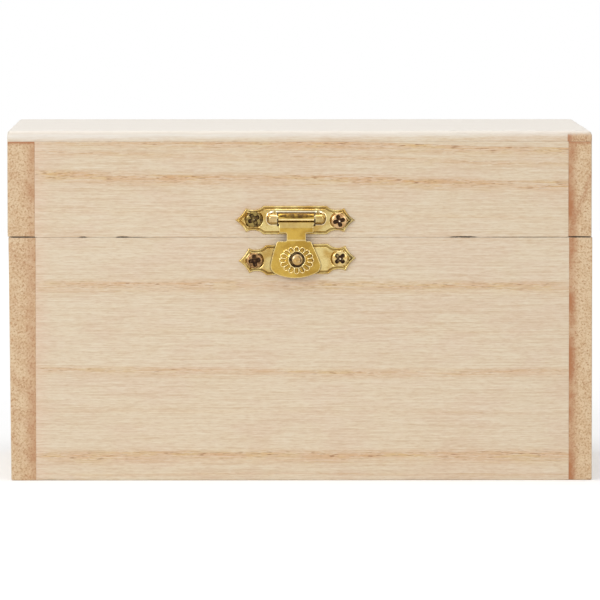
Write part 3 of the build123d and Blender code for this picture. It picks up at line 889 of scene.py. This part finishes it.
# The flap's broad end has a painted shadow on this plate: a dark line round its edge and shade
# under it. Its two sides are shares of their reach and of the height above its foot: the middle of
# the spreading side, where it is full, its turn, the heel and the toe
pin_low, pin_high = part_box("latch_hasp_pin")
flap_across = (pin_low[0] + pin_high[0]) / 2
fan_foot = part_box("latch_hasp")[0][2]
fan_above_hole = 4.7 * mm
fan_top = lower_centre.imag + fan_above_hole
fan_corners = {"left": -4.9 * mm, "right": 3.75 * mm}
fan_reaches = {"left": -6.6 * mm, "right": 6.25 * mm}
fan_shares = {
    "left": ((0.882, 0.708), (0.995, 0.395), (1.0, 0.32), (0.962, 0.21), (0.85, 0.13)),
    "right": ((0.795, 0.708), (0.985, 0.395), (1.0, 0.32), (0.963, 0.236), (0.91, 0.172)),
}
hole_across = 0.15 * mm
hole_radius = 1.9 * mm


def fan_side(side, at):
    """Places down one side of the fan, from its top corner to its toe."""
    corner = at(fan_corners[side], fan_top)
    spread, full, turn, heel, toe = (
        at(across * fan_reaches[side], fan_foot + up * (fan_top - fan_foot))
        for across, up in fan_shares[side]
    )
    return [*arc(corner, spread, full), *arc(full, turn, heel), heel, toe]


def fan_outline(at):
    """The fan's edge from its left top corner down, along its foot and up to its right one."""
    left = fan_side("left", at)
    right = fan_side("right", at)
    return np.array([*left[:-1], *arc(left[-1], at(0, fan_foot), right[-1]), *right[::-1]])


def on_plate(across, height):
    """A place of the flap, as the lower plate's own flat place."""
    place = complex(flap_across + across, height) - lower_centre
    return place * cmath.exp(-1j * lower_turn)


fan_line = fan_outline(on_plate)
hole_on_plate = on_plate(hole_across, lower_centre.imag)
# Painted shadow of the flap: a dark line round the fan, and shade under it, darkest round the hole
fan_shadow_width = 0.2 * mm
fan_shadow_share = 0.8
under_fan_shadow_share = 0.2
hole_shadow_share = 0.7
hole_fade = 0.5 * mm
# Painted shade, darker towards the plate's left
left_shade_share = 0.1
left_shade_length = 8 * mm


def lower_shape(points, inset):
    """The lower plate's places and shares, with painted shade on its left and the flap's painted
    shadow.
    """
    out, tarnish_and_light = stamped(points, inset, lower_screws)
    tarnish_and_light = tarnish_and_light + left_shade_share * np.clip(-points.real / left_shade_length, 0, 1)
    from_fan, under_fan = from_edges(points, [fan_line])
    from_hole = abs(points - hole_on_plate) - hole_radius
    shaded = under_fan_shadow_share + hole_shadow_share * np.clip(1 - from_hole / hole_fade, 0, 1)
    tarnish_and_light = np.maximum(tarnish_and_light, fan_shadow_share * near(from_fan, fan_shadow_width))
    tarnish_and_light = np.maximum(tarnish_and_light, np.where(under_fan, shaded, 0))
    back = on_front(points, np.zeros(len(points)), lower_centre, lower_turn)
    return on_front(points, out, lower_centre, lower_turn), back, tarnish_and_light


def seat_rings(screws):
    """Rings of points round the screws' seats."""
    return [circle(screw, radius) for screw in screws for radius in seat_profile[1:, 0]]


lower_size = complex(lower_length, lower_height)
lower_spots = np.concatenate([*seat_rings(lower_screws), grid(-lower_size, lower_size, sheet_pitch)])
lower_plate = pressed_sheet(
    "lower_plate", [plate_outline(lower_length, lower_height)], plate_insets, lower_spots,
    lower_shape, plate_brass,
)
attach(lower_plate, "base")
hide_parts("latch_lower_plate")

# Catch stud
# A turned brass stud riveted through the lower plate, with a domed top and a dimple in it.
stud_radius = 1.42 * mm
stud_top = front_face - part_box("latch_catch_stud")[0][1]
stud_dome = 0.5 * mm
stud_seat = 0.5 * mm
stud_tenon_radius = 0.9 * mm
stud_dimple = 0.24 * mm
stud_dimple_radius = 0.8 * mm
# Painted shade: a dark crescent on the right of the dimple, and a darker side
stud_shade_radius = 0.92 * mm
stud_shade_width = 0.2 * mm
stud_shade_from = 1 * mm
stud_shade_turn = cmath.exp(-0.2j)
stud_side_share = 0.88
stud_cloud = 1.2 * mm
stud_steps = 22
turned_sides = 96
first_turn = 0.06


def turned(name, section, centre, material, recess, painted_light, sides=turned_sides):
    """A closed turned piece on the box's front. section holds (radius, out) from the top down."""
    radius, out = np.array(section[1:-1]).T
    spin = np.exp(2j * math.pi * np.arange(sides) / sides)
    spots = np.concatenate([[0], (radius[:, None] * spin).ravel(), [0]])
    outs = np.concatenate([[section[0][1]], np.repeat(out, sides), [section[-1][1]]])
    on_top = np.arange(len(spots)) <= sides * int(np.argmax(radius) + 1)
    outs = outs - np.where(on_top, recess(spots), 0)
    ring = np.arange(sides)
    after = (ring + 1) % sides
    polygons = [(0, 1 + b, 1 + a) for a, b in zip(after, ring)]
    for level in range(len(radius) - 1):
        upper = 1 + level * sides
        lower = upper + sides
        polygons += [(upper + a, lower + a, lower + b, upper + b) for a, b in zip(ring, after)]
    last = len(spots) - 1
    polygons += [(last, last - sides + a, last - sides + b) for a, b in zip(after, ring)]
    places = on_front(spots, outs, centre)
    piece = piece_from(name, places, polygons, material, metal_smooth_degrees)
    # The top's painted shade and highlights
    keep_shares(piece, "tarnish_and_light", np.where(on_top, painted_light(spots), 0))
    return piece


def rounded(radius, top, drop, count):
    """A domed top's section: (radius, out) points from near the middle out to the rim."""
    turns = np.linspace(first_turn, 0.5 * math.pi, count)
    return [(radius * math.sin(t), top - drop * (1 - math.cos(t))) for t in turns]


stud_low, stud_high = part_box("latch_catch_stud")
stud_centre = complex((stud_low[0] + stud_high[0]) / 2, (stud_low[2] + stud_high[2]) / 2)


def stud_shade(points):
    """Painted shade round the stud's side, and in a crescent on the right of its dimple."""
    rightwards = (points * stud_shade_turn).real / np.maximum(abs(points), stud_shade_from)
    crescent = near(abs(points) - stud_shade_radius, stud_shade_width)
    crescent *= np.clip(1.5 * rightwards - 0.4, 0, 1)
    side = 6 * np.clip(abs(points) / stud_radius - stud_side_share, 0, 1)
    return np.maximum(crescent, side)


def stud_dimpled(points):
    """How deep the stud's dimple is at each point."""
    return stud_dimple * np.clip(1 - (abs(points) / stud_dimple_radius) ** 2, 0, 1)


stud_brass = metal(
    "stud_brass", colour(196, 168, 122), colour(182, 146, 86), 0.24, cloud=stud_cloud
)
stud_section = [
    (0, stud_top),
    *rounded(stud_radius, stud_top, stud_dome, stud_steps),
    (stud_radius, stud_seat),
    (stud_tenon_radius, stud_seat),
    (stud_tenon_radius, 0),
    (0, 0),
]
stud = turned("catch_stud", stud_section, stud_centre, stud_brass, stud_dimpled, stud_shade)
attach(stud, "base")
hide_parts("latch_catch_stud")

# Clasp screws
# Small round-headed wood screws with crossed slots, brass-washed. The two on the left have
# tarnished brown, the two on the right are bright, and their slots are darkened by painted shade.
head_radius = 2.0 * mm
head_top = 1.45 * mm
head_dome = 0.5 * mm
head_pitch = 0.055 * mm
head_edge_share = 0.93
head_steps = 30
rim_steps = 8
head_sides = 120
axis_gap = 0.05 * mm
seat_out = 0.6 * mm
shank_length = 0.6 * mm
thread_radius = 1.0 * mm
thread_core = 0.72 * mm
thread_pitch = 0.75 * mm
point_length = 1.6 * mm
screw_foot = -5.2 * mm
slot_length = 1.6 * mm
slot_half_width = 0.52 * mm
slot_depth = 0.6 * mm
slot_wall = 0.12 * mm
highlight_middle = 0.2 * mm
rim_dark_share = 0.5
# Painted highlight: a glint near the middle of the bright screws
glint_place = complex(0.1 * mm, -0.12 * mm)
glint_radius = 0.22 * mm
screw_cloud = 0.9 * mm


def screw_section():
    """The head's dome, its underside, and the thread down to the point."""
    radii = np.arange(axis_gap, head_edge_share * head_radius, head_pitch)
    fall = 1 - np.sqrt(1 - (radii / head_radius) ** 2)
    section = [(0, head_top), *zip(radii, head_top - head_dome * fall)]
    section += rounded(head_radius, head_top, head_dome, head_steps)[-rim_steps:]
    section += [(head_radius, seat_out), (thread_core, seat_out)]
    for out in np.arange(seat_out - shank_length, screw_foot + point_length, -thread_pitch):
        section += [(thread_radius, out), (thread_core, out - thread_pitch / 2)]
    return section + [(axis_gap, screw_foot), (0, screw_foot)]


def crossed_slots(turn):
    """How deep the crossed slots are at each point of the head."""

    def depth(points):
        arms = []
        for quarter in (0, 90):
            arm = points * cmath.exp(-1j * math.radians(turn + quarter))
            beyond = np.maximum(abs(arm.real) - slot_length + slot_half_width, 0)
            inside = slot_half_width - abs(beyond + 1j * arm.imag)
            arms.append(np.clip(inside / slot_wall, 0, 1))
        return slot_depth * np.maximum(*arms)

    return depth


def slot_shade(depth, brightness, darkest):
    """Painted shade in the slots and a darker rim, cleared at the very middle of a bright screw,
    which takes a painted glint there.
    """

    def share(points):
        middle = brightness * near(abs(points), highlight_middle)
        rim = rim_dark_share * np.clip((abs(points) / head_radius - head_edge_share) * 15, 0, 1)
        filled = np.clip(2 * depth(points) / slot_depth, 0, darkest)
        dirt_and_shade = np.maximum(filled * (1 - middle), rim)
        glint = brightness * near(abs(points - glint_place), glint_radius)
        return np.where(glint > 0.5, -glint, dirt_and_shade)

    return share


screw_colours = {
    "left_lower": (colour(166, 128, 84), colour(98, 68, 40)),
    "right_lower": (colour(216, 192, 134), colour(192, 160, 98)),
    "left_upper": (colour(150, 128, 72), colour(74, 56, 30)),
    "right_upper": (colour(200, 164, 118), colour(178, 136, 88)),
}
# How far each screw's slots are turned, how strong its painted glint and the clearing at its
# middle are, and how dark the painted shade in its slots is
slot_states = {
    "left_lower": (8, 0.5, 0.97),
    "right_lower": (45, 1.0, 0.97),
    "left_upper": (28, 0.6, 0.55),
    "right_upper": (15, 1.0, 0.97),
}


def clasp_screw(which, row, centre, body):
    turn, brightness, darkest = slot_states[which]
    finish = metal(f"{which}_screw_metal", *screw_colours[which], 0.28, cloud=screw_cloud)
    depth = crossed_slots(turn)
    dirt_and_shade = slot_shade(depth, brightness, darkest)
    screw = turned(f"{which}_screw", screw_section(), centre, finish, depth, dirt_and_shade, head_sides)
    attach(screw, body)
    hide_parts(f"latch_{row}_screws")


for which, across in zip(("left_lower", "right_lower"), lower_screws):
    place = lower_centre + across * cmath.exp(1j * lower_turn)
    clasp_screw(which, "lower", place, "base")

# Clasp's upper plate
# The same stamped plate on the lid's front, with a window for the flap's curl. A lip runs along
# the window's top edge, and a loop pressed out of the sheet at each end of it holds the pin.
upper_low, upper_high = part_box("latch_upper_plate")
upper_centre = complex((upper_low[0] + upper_high[0]) / 2, (upper_low[2] + upper_high[2]) / 2)
upper_length = upper_high[0] - upper_low[0]
upper_height = upper_high[2] - upper_low[2]
upper_shift = 0.35 * mm
upper_screws = [
    complex(upper_shift - screw_spacing / 2, 0.25 * mm),
    complex(upper_shift + screw_spacing / 2, -0.15 * mm),
]
pin_place = complex((pin_low[0] + pin_high[0]) / 2, (pin_low[2] + pin_high[2]) / 2)
pin_out = front_face - (pin_low[1] + pin_high[1]) / 2
pin_at = pin_place - upper_centre
window_half = 4.95 * mm
window_above = 1.3 * mm
window_below = 2.3 * mm
ear_radius = 1.3 * mm
ear_drop = 0.3 * mm
ear_reach = 6.55 * mm
ear_end = 0.9 * mm
ring_rise = 0.12 * mm
ear_side_light_share = 0.14
olive_share = 0.3
lip_above = 1.42 * mm
lip_width = 0.2 * mm
lip_rise = 0.12 * mm
lip_straight_half = 6.0 * mm
lip_bend_length = 1.5 * mm
lip_fall = 1.5 * mm
field_inset = 0.8 * mm
window_skin = 0.01 * mm
# Round each ear, as shares of its radius: its foot, and the middle and width of ring and crease
ear_foot_share = 1.12
ear_ring_shares = (1.24, 0.09)
ear_crease_shares = (1.08, 0.07)
olive_above_lip = 0.42 * mm
olive_width = 0.16 * mm
olive_half_length = 5.6 * mm
right_shade_share = 0.08
right_shade_length = 9 * mm
fine_pitch = 0.13 * mm
fine_half_length = 8.2 * mm


def upper_shape(points, inset):
    """The upper plate's places and shares, with its lip and its two ears in their rings, and their
    painted light.
    """
    outer = from_edges(points, [upper_outline])[0]
    out, tarnish_and_light = stamped(points, outer, upper_screws)
    on_field = outer > field_inset
    side = abs(points.real - pin_at.real)
    up = points.imag - pin_at.imag
    bend = np.clip((side - lip_straight_half) / lip_bend_length, 0, 1)
    lip_line = lip_above - lip_fall * bend**2
    lip = near(up - lip_line, lip_width) * (1 - bend**4) * on_field
    out = out + lip_rise * lip
    beyond = np.maximum(side - ear_reach, 0) / ear_end
    from_ear = np.sqrt(((up + ear_drop) / ear_radius) ** 2 + beyond**2)
    dome = pin_out + ear_radius * np.sqrt(np.clip(1 - from_ear**2, 0, 1))
    skirt = np.interp(from_ear, (1.0, ear_foot_share), (pin_out, 0))
    by_ear = side > window_half - window_skin
    ear = np.where(by_ear, np.where(from_ear < 1, dome, skirt), 0)
    ring_middle, ring_width = ear_ring_shares
    ring = near(from_ear - ring_middle, ring_width) * by_ear * on_field
    out = np.maximum(out + ring_rise * ring, ear)
    crease_middle, crease_width = ear_crease_shares
    crease = near(from_ear - crease_middle, crease_width) * by_ear
    # Painted highlights on the rings round the ears and along the lip, and darker creases
    tarnish_and_light = np.maximum(tarnish_and_light, 0.7 * crease) - 0.8 * ring - lip
    # Painted light: the left ear lighter and the right one darker
    tarnish_and_light += ear_side_light_share * (ear > 0) * np.sign(points.real)
    above_lip = near(up - lip_line - olive_above_lip, olive_width) * (side < olive_half_length)
    tarnish_and_light += olive_share * above_lip
    # Painted shade, darker towards the plate's right
    tarnish_and_light += right_shade_share * np.clip(points.real / right_shade_length, 0, 1)
    back = on_front(points, np.zeros(len(points)), upper_centre)
    return on_front(points, out, upper_centre), back, tarnish_and_light


upper_outline = plate_outline(upper_length, upper_height)
corners = [
    pin_at + complex(-window_half, -window_below),
    pin_at + complex(-window_half, window_above),
    pin_at + complex(window_half, window_above),
    pin_at + complex(window_half, -window_below),
]
window = np.concatenate([run(a, b) for a, b in zip(corners, corners[1:] + corners[:1])])
upper_size = complex(upper_length, upper_height)
upper_grid = grid(-upper_size, upper_size, fine_pitch)
fine = abs(upper_grid.real - pin_at.real) <= fine_half_length
every_second = np.arange(len(upper_grid)) % 2 == 0
upper_spots = np.concatenate([*seat_rings(upper_screws), upper_grid[fine | every_second]])
upper_plate = pressed_sheet(
    "upper_plate", [upper_outline, window], plate_insets, upper_spots, upper_shape, plate_brass
)
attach(upper_plate, "lid")
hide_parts("latch_upper_plate")
for which, across in zip(("left_upper", "right_upper"), upper_screws):
    clasp_screw(which, "upper", upper_centre + across, "lid")

# Clasp's flap
# One strip of stamped brass, curled round the pin in front of the window. It steps forward to a
# neck and a broad fan, where a ring of petals is pressed up round the hole for the stud.
sheet_half = 0.25 * mm
curl_middle = 0.8 * mm
curl_outer = 1.05 * mm
curl_start = math.radians(-75)
curl_width = 9.3 * mm
curl_steps = 60
leaf_drop = 0.75 * mm
leaf_step_out = 1.35 * mm
leaf_step_drop = 1.35 * mm
shoulder_width = 8.8 * mm
shoulder_drop = 3.95 * mm
shoulder_bend_drop = 2.7 * mm
shoulder_out = 1.7 * mm
neck_width = 4.9 * mm
bend_radius = 0.35 * mm
fan_out = 1.45 * mm
flap_corner = 0.35 * mm
flap_insets = (0.03 * mm, 0.07 * mm, 0.12 * mm)
flap_round = flap_insets[-1]
edge_thinning_share = 0.7
overrun = 1 * mm
petal_count = 16
petal_ring = complex(3.8 * mm, 2.9 * mm)
petal_radius = 0.54 * mm
petal_ridge = 0.14 * mm
petal_rise = 0.22 * mm
petal_hollow = 0.13 * mm
petal_length = 1.1 * mm
petal_opening = 0.3 * mm
petal_middle = 0.01 * mm
petal_cup_share = 0.8
crescent_share = 0.6
crescent_width = 0.13 * mm
hole_rim = 0.25 * mm
hole_rim_width = 0.12 * mm
hole_edge_width = 0.1 * mm
rosette_shift = complex(-0.05 * mm, -0.15 * mm)
rosette_reach = complex(4.8 * mm, 3.9 * mm)
coarse_pitch = 0.17 * mm
curl_pitch = 0.12 * mm
rosette_pitch = 0.09 * mm
# Where round the curl its painted dark reflection, painted glint and dark line at its foot lie and
# how wide they are, in degrees
curl_reflection_turn = 22
curl_reflection_reach = 38
curl_reflection_fade = 8
curl_glint_turn = -34
curl_glint_width = 13
curl_foot_turn = -68
curl_foot_width = 9
# Painted highlights along the fold above the fan and the flap's edges
fold_above_fan = 0.3 * mm
fold_width = 0.14 * mm
highlight_edge_width = 0.13 * mm
# Painted shade, darker towards the flap's right
flap_shade_share = 0.16
flap_shade_length = 6 * mm
# The colour of the flap's painted highlights
flap_highlight = colour(255, 241, 188)


def eased_corners(corners, radius):
    """A line of places with its inner corners rounded, as points close together."""
    line = [corners[0]]
    for before, corner, after in zip(corners, corners[1:], corners[2:]):
        into = (corner - before) / abs(corner - before)
        out_of = (after - corner) / abs(after - corner)
        turn = abs(cmath.phase(out_of / into))
        reach = radius * math.tan(turn / 2)
        start = corner - into * reach
        end = corner + out_of * reach
        swell = (start + end) / 2 - corner
        middle = corner + swell / abs(swell) * radius * (1 / math.cos(turn / 2) - 1)
        line += [*arc(start, middle, end), end]
    return np.array(line + [corners[-1]])


# The strip's middle line seen from its left, as out from the wood and up: first the curl
curl_turns = np.linspace(curl_start, math.pi, curl_steps)
curl_line = complex(pin_out, pin_place.imag) + curl_middle * np.exp(1j * curl_turns)
leaf_line = eased_corners(
    [
        curl_line[-1],
        complex(pin_out - curl_middle, pin_place.imag - leaf_drop),
        complex(leaf_step_out, pin_place.imag - leaf_step_drop),
        complex(shoulder_out, pin_place.imag - shoulder_bend_drop),
        complex(fan_out, fan_top + bend_radius),
        complex(fan_out, fan_foot - overrun),
    ],
    bend_radius,
)
strip_line = np.concatenate([curl_line, leaf_line[1:]])
strip_run = np.concatenate([[0], np.cumsum(abs(np.diff(strip_line)))])
strip_ahead = np.gradient(strip_line)
strip_square = 1j * strip_ahead / abs(strip_ahead)
leaf_start = strip_run[len(curl_line) - 1]


def run_at(height):
    """How far along the strip a height of its leaf is."""
    leaf = strip_line[len(curl_line) - 1 :]
    return float(np.interp(-height, -leaf.imag, strip_run[len(curl_line) - 1 :]))


def flap_edge():
    """The flap's edge laid flat, anticlockwise, with the strip's run counted downwards."""

    def at(across, height):
        return complex(across, -run_at(height))

    def stepped(side, beside_fan):
        """From the curl down one side to the fan's eased top corner."""
        curl_low = pin_place.imag - curl_outer - 2 * sheet_half
        shoulder_low = pin_place.imag - shoulder_drop
        steps = [
            at(side * shoulder_width / 2, curl_low - sheet_half),
            at(side * shoulder_width / 2, shoulder_low),
            at(side * neck_width / 2, shoulder_low),
            at(side * neck_width / 2, fan_top),
            *beside_fan,
        ]
        curl = [complex(side * curl_width / 2, 0), at(side * curl_width / 2, curl_low)]
        return [*curl, *eased_corners(steps, flap_corner)]

    fan = fan_outline(at)
    left = stepped(-1, [fan[0], fan[3]])
    right = stepped(1, [fan[-1], fan[-4]])
    edge = np.array([*left, *fan[4:-4], *right[::-1]])
    return np.concatenate([run(a, b) for a, b in zip(edge, np.roll(edge, -1))])


def petals(points):
    """The pressed petals: how far they stand proud, their painted highlights and their painted dark
    reflections.
    """
    ridge = np.zeros(len(points))
    hollow = np.zeros(len(points))
    crescent = np.zeros(len(points))
    for petal in range(petal_count):
        turn = cmath.exp(2j * math.pi * petal / petal_count)
        place = complex(petal_ring.real * turn.real, petal_ring.imag * turn.imag)
        outward = place / abs(place)
        spot = (points - rosette_shift - place) / outward
        rounded_spot = np.maximum(spot.real, 0) + 1j * spot.imag
        from_middle = abs(rounded_spot)
        open_end = np.clip((spot.real + petal_length) / petal_opening, 0, 1)
        ridge = np.maximum(ridge, near(from_middle - petal_radius, petal_ridge) * open_end)
        cup = np.clip(1.1 - (from_middle / (petal_cup_share * petal_radius)) ** 2, 0, 1)
        hollow = np.maximum(hollow, cup * open_end)
        rightwards = (rounded_spot * outward).real / np.maximum(from_middle, petal_middle)
        # Painted reflection: a dark crescent inside each petal, on its right
        side = near(from_middle - crescent_share * petal_radius, crescent_width) * open_end
        strength = 0.65 + 0.35 * outward.real
        crescent = np.maximum(crescent, strength * side * np.clip(1.3 * rightwards - 0.2, 0, 1))
    from_hole = abs(points) - hole_radius
    ridge *= np.clip(from_hole / hole_rim, 0, 1)
    rim = near(from_hole - hole_rim, hole_rim_width)
    proud = petal_rise * np.maximum(ridge, 0.6 * rim) - petal_hollow * hollow
    # Painted highlight on the ridges and the hole's rim, and darker hollows
    painted_highlight = 0.74 * np.maximum(ridge, 0.8 * rim)
    return proud, np.where(painted_highlight > 0.3, -painted_highlight, 0.12 * hollow + 0.95 * crescent)


def flap_shape(points, inset):
    """The flap's two faces, bent along the strip's line, and its painted highlights and shade."""
    along = -points.imag
    line = np.interp(along, strip_run, strip_line.real) * (1 + 0j)
    line += 1j * np.interp(along, strip_run, strip_line.imag)
    square = np.interp(along, strip_run, strip_square.real) * (1 + 0j)
    square += 1j * np.interp(along, strip_run, strip_square.imag)
    square /= abs(square)
    to_edge = 1 - np.clip(inset / flap_round, 0, 1)
    half = sheet_half * np.sqrt(1 - edge_thinning_share * to_edge**2)
    from_hole = points - hole_place
    pressed, wear_and_light = petals(from_hole)
    faces = []
    for side in (line + (half + pressed) * square, line - (half - 0.5 * pressed) * square):
        faces.append(np.stack([points.real + flap_across, front_face - side.real, side.imag], -1))

    turn = np.degrees(curl_start + along / curl_middle)
    on_leaf = along > leaf_start
    from_end = np.clip(1 - (points.real / (curl_width / 2)) ** 2, 0, 1)
    beyond = abs(turn - curl_reflection_turn) - curl_reflection_reach * np.sqrt(from_end)
    rightward_shade = flap_shade_share * np.clip(points.real / flap_shade_length, 0, 1)
    # Painted shade on the petals, a dark reflection across the curl, a dark line at its foot and the
    # right side; and darker round the hole
    tarnish_and_light = np.maximum.reduce([
        wear_and_light,
        0.7 * near(abs(from_hole) - hole_radius, hole_edge_width),
        0.8 * np.clip(-beyond / curl_reflection_fade, 0, 1),
        0.8 * near(turn - curl_foot_turn, curl_foot_width) * (along < leaf_start),
        rightward_shade,
    ])
    below_pin = pin_place.imag - line.imag
    # Painted highlights: a glint under the curl, the shoulder's upper part, the fold and the edges
    painted_highlight = np.maximum.reduce([
        near(turn - curl_glint_turn, curl_glint_width) * ~on_leaf,
        0.22 * (on_leaf & (below_pin > curl_outer) & (below_pin < shoulder_bend_drop)),
        0.45 * on_leaf * near(line.imag - fan_top - fold_above_fan, fold_width),
        0.7 * near(inset, highlight_edge_width) * on_leaf,
    ])
    return *faces, np.where((wear_and_light < 0) | (painted_highlight > tarnish_and_light), np.minimum(wear_and_light, -painted_highlight), tarnish_and_light)


hole_place = complex(hole_across, -run_at(lower_centre.imag))
flap_foot = -run_at(fan_foot) - overrun
flap_half = -fan_reaches["left"] + overrun
leaf_box = (complex(-flap_half, flap_foot), complex(flap_half, -leaf_start))
coarse = grid(*leaf_box, coarse_pitch)
rosette = grid(*leaf_box, rosette_pitch)
on_curl = grid(complex(-flap_half, -leaf_start), complex(flap_half, 0), curl_pitch)


def in_rosette(points):
    """Whether each point is near the petals, where the sheet is more finely divided."""
    local = points - hole_place
    return (local.real / rosette_reach.real) ** 2 + (local.imag / rosette_reach.imag) ** 2 < 1


flap_spots = np.concatenate([coarse[~in_rosette(coarse)], on_curl, rosette[in_rosette(rosette)]])
flap_brass = metal(
    "flap_brass", colour(192, 157, 70), colour(171, 134, 52), 0.2, stipple=0.4, painted_highlight=flap_highlight
)
flap = pressed_sheet(
    "flap", [flap_edge(), (hole_place + circle(0, hole_radius))[::-1]], flap_insets, flap_spots,
    flap_shape, flap_brass,
)
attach(flap, "hasp")
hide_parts("latch_hasp")

# Clasp's pin and the back hinges
# A wire pin through the loops and the curl. At the back, two little butt hinges of rolled brass
# with steel pins, each leaf held by two small countersunk screws.
worn_edge = 0.06 * mm
weld_gap = 0.001 * mm
hinge_screw_cloud = 1 * mm
# Painted shade in the hinge screws' recesses: full from the first depth under the top down, gone
# above the second
recess_shade_depths = (0.36 * mm, 0.24 * mm)


def dress(node, material, edge=0.0):
    """A CAD piece keeps its shape and takes a finish, and its sharp edges are broken."""
    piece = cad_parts[node]
    for holder in piece.material_slots:
        holder.material = material
    if edge:
        weld = piece.modifiers.new("joined", "WELD")
        weld.merge_threshold = weld_gap
        wear_and_light = piece.modifiers.new("worn_edge", "BEVEL")
        wear_and_light.width = edge
        wear_and_light.segments = 2
        wear_and_light.limit_method = "ANGLE"
        wear_and_light.angle_limit = math.radians(smooth_degrees)


pin_steel = metal("pin_steel", colour(206, 190, 148), colour(180, 158, 108), 0.22)
hinge_brass = metal("hinge_brass", colour(208, 178, 108), colour(200, 166, 92), 0.26, stipple=0.4)
screw_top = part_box("hinge_base_screws")[1][1]
hinge_screw_steel = metal(
    "hinge_screw_steel", colour(196, 176, 136), colour(164, 140, 98), 0.28,
    cloud=hinge_screw_cloud, shaded_below=[screw_top - depth for depth in recess_shade_depths],
)
dress("latch_hasp_pin", pin_steel)
for side in ("left", "right"):
    dress(f"hinge_{side}_pin", pin_steel, worn_edge)
    for member in ("base", "lid"):
        dress(f"hinge_{side}_{member}_leaf", hinge_brass, worn_edge)
for member in ("base", "lid"):
    dress(f"hinge_{member}_screws", hinge_screw_steel)

# Floor, surround, lamps and camera
# A white floor with a white surround, three soft lamps at a plain level, and the camera of the
# photograph's view. The floor's own glow is what makes it white, and it keeps the box's shadow.
floor_size = 2.4
near_glow_reach = 0.1
far_glow_reach = 0.9
near_glow_share = 0.2
far_glow_share = 0.65
room_light_share = 0.36
bpy.ops.mesh.primitive_plane_add(size=floor_size, location=(0, 0, 0))
floor = bpy.context.object
floor.name = "floor"


def seen_directly(tree):
    """1 where a ray comes from the camera or off metal or glass, and 0 for the lighting's rays."""
    rays = tree.nodes.new("ShaderNodeLightPath").outputs
    last = rays["Is Camera Ray"]
    for other in ("Is Glossy Ray", "Is Transmission Ray"):
        larger = tree.nodes.new("ShaderNodeMath")
        larger.operation = "MAXIMUM"
        tree.links.new(last, larger.inputs[0])
        tree.links.new(rays[other], larger.inputs[1])
        last = larger.outputs[0]
    return last


floor_paint = Shader("floor_paint")
floor_paint.set(Base_Color=colour(240, 240, 240), Roughness=0.9, Specular_IOR_Level=0.1)
spot = floor_paint.coordinates.outputs["Object"]
from_box = floor_paint.node("VectorMath", {0: spot}, operation="LENGTH").outputs["Value"]
seen_glow = floor_paint.between(
    from_box, near_glow_reach, far_glow_reach, near_glow_share, far_glow_share, smooth=False
)
glow = floor_paint.node("Emission", {0: (1, 1, 1, 1), 1: seen_glow}).outputs[0]
dark = floor_paint.node("Emission", {0: (0, 0, 0, 1), 1: 0.0}).outputs[0]
seen = seen_directly(floor_paint.tree)
shown_glow = floor_paint.node("MixShader", {0: seen, 1: dark, 2: glow}).outputs[0]
both = floor_paint.node("AddShader", {0: floor_paint.surface.outputs[0], 1: shown_glow})
floor_paint.fill(floor_paint.tree.nodes["Material Output"].inputs["Surface"], both.outputs[0])
floor.data.materials.append(floor_paint.material)

world = bpy.data.worlds.new("surround")
bpy.context.scene.world = world
world.use_nodes = True
surround = world.node_tree
white = surround.nodes["Background"]
white.inputs["Color"].default_value = (1, 1, 1, 1)
level = surround.nodes.new("ShaderNodeMapRange")
level.inputs["To Min"].default_value = room_light_share
level.inputs["To Max"].default_value = 1.0
surround.links.new(seen_directly(surround), level.inputs["Value"])
surround.links.new(level.outputs["Result"], white.inputs["Strength"])

# Each lamp's place and size in metres, and its power in watts
lamps = {
    "lamp_left": ((-0.65, -0.7, 0.45), 0.35, 3.1),
    "lamp_right": ((0.6, -0.75, 0.35), 0.4, 1.4),
    "lamp_above": ((-0.05, -0.12, 0.95), 0.7, 4.6),
}
lamp_aim = Vector((0, 0, 0.045))
for name, (place, size, power) in lamps.items():
    light = bpy.data.lights.new(name, "AREA")
    light.size = size
    light.energy = power
    lamp = bpy.data.objects.new(name, light)
    lamp.location = place
    lamp.rotation_euler = (lamp_aim - Vector(place)).to_track_quat("-Z", "Y").to_euler()
    bpy.context.scene.collection.objects.link(lamp)

camera_place = Vector((-0.0146, -1.685, 0.1478))
camera_aim = Vector((-0.00013, -0.045, 0.0465))
lens_millimetres = 383.8
sensor_millimetres = 36
camera_data = bpy.data.cameras.new("camera")
camera_data.lens = lens_millimetres
camera_data.sensor_width = sensor_millimetres
camera_data.clip_start = 0.1
camera_data.clip_end = 20
camera = bpy.data.objects.new("camera", camera_data)
camera.location = camera_place
camera.rotation_euler = (camera_aim - camera_place).to_track_quat("-Z", "Y").to_euler()
bpy.context.scene.collection.objects.link(camera)
bpy.context.scene.camera = camera
bpy.context.scene.view_settings.view_transform = "Standard"
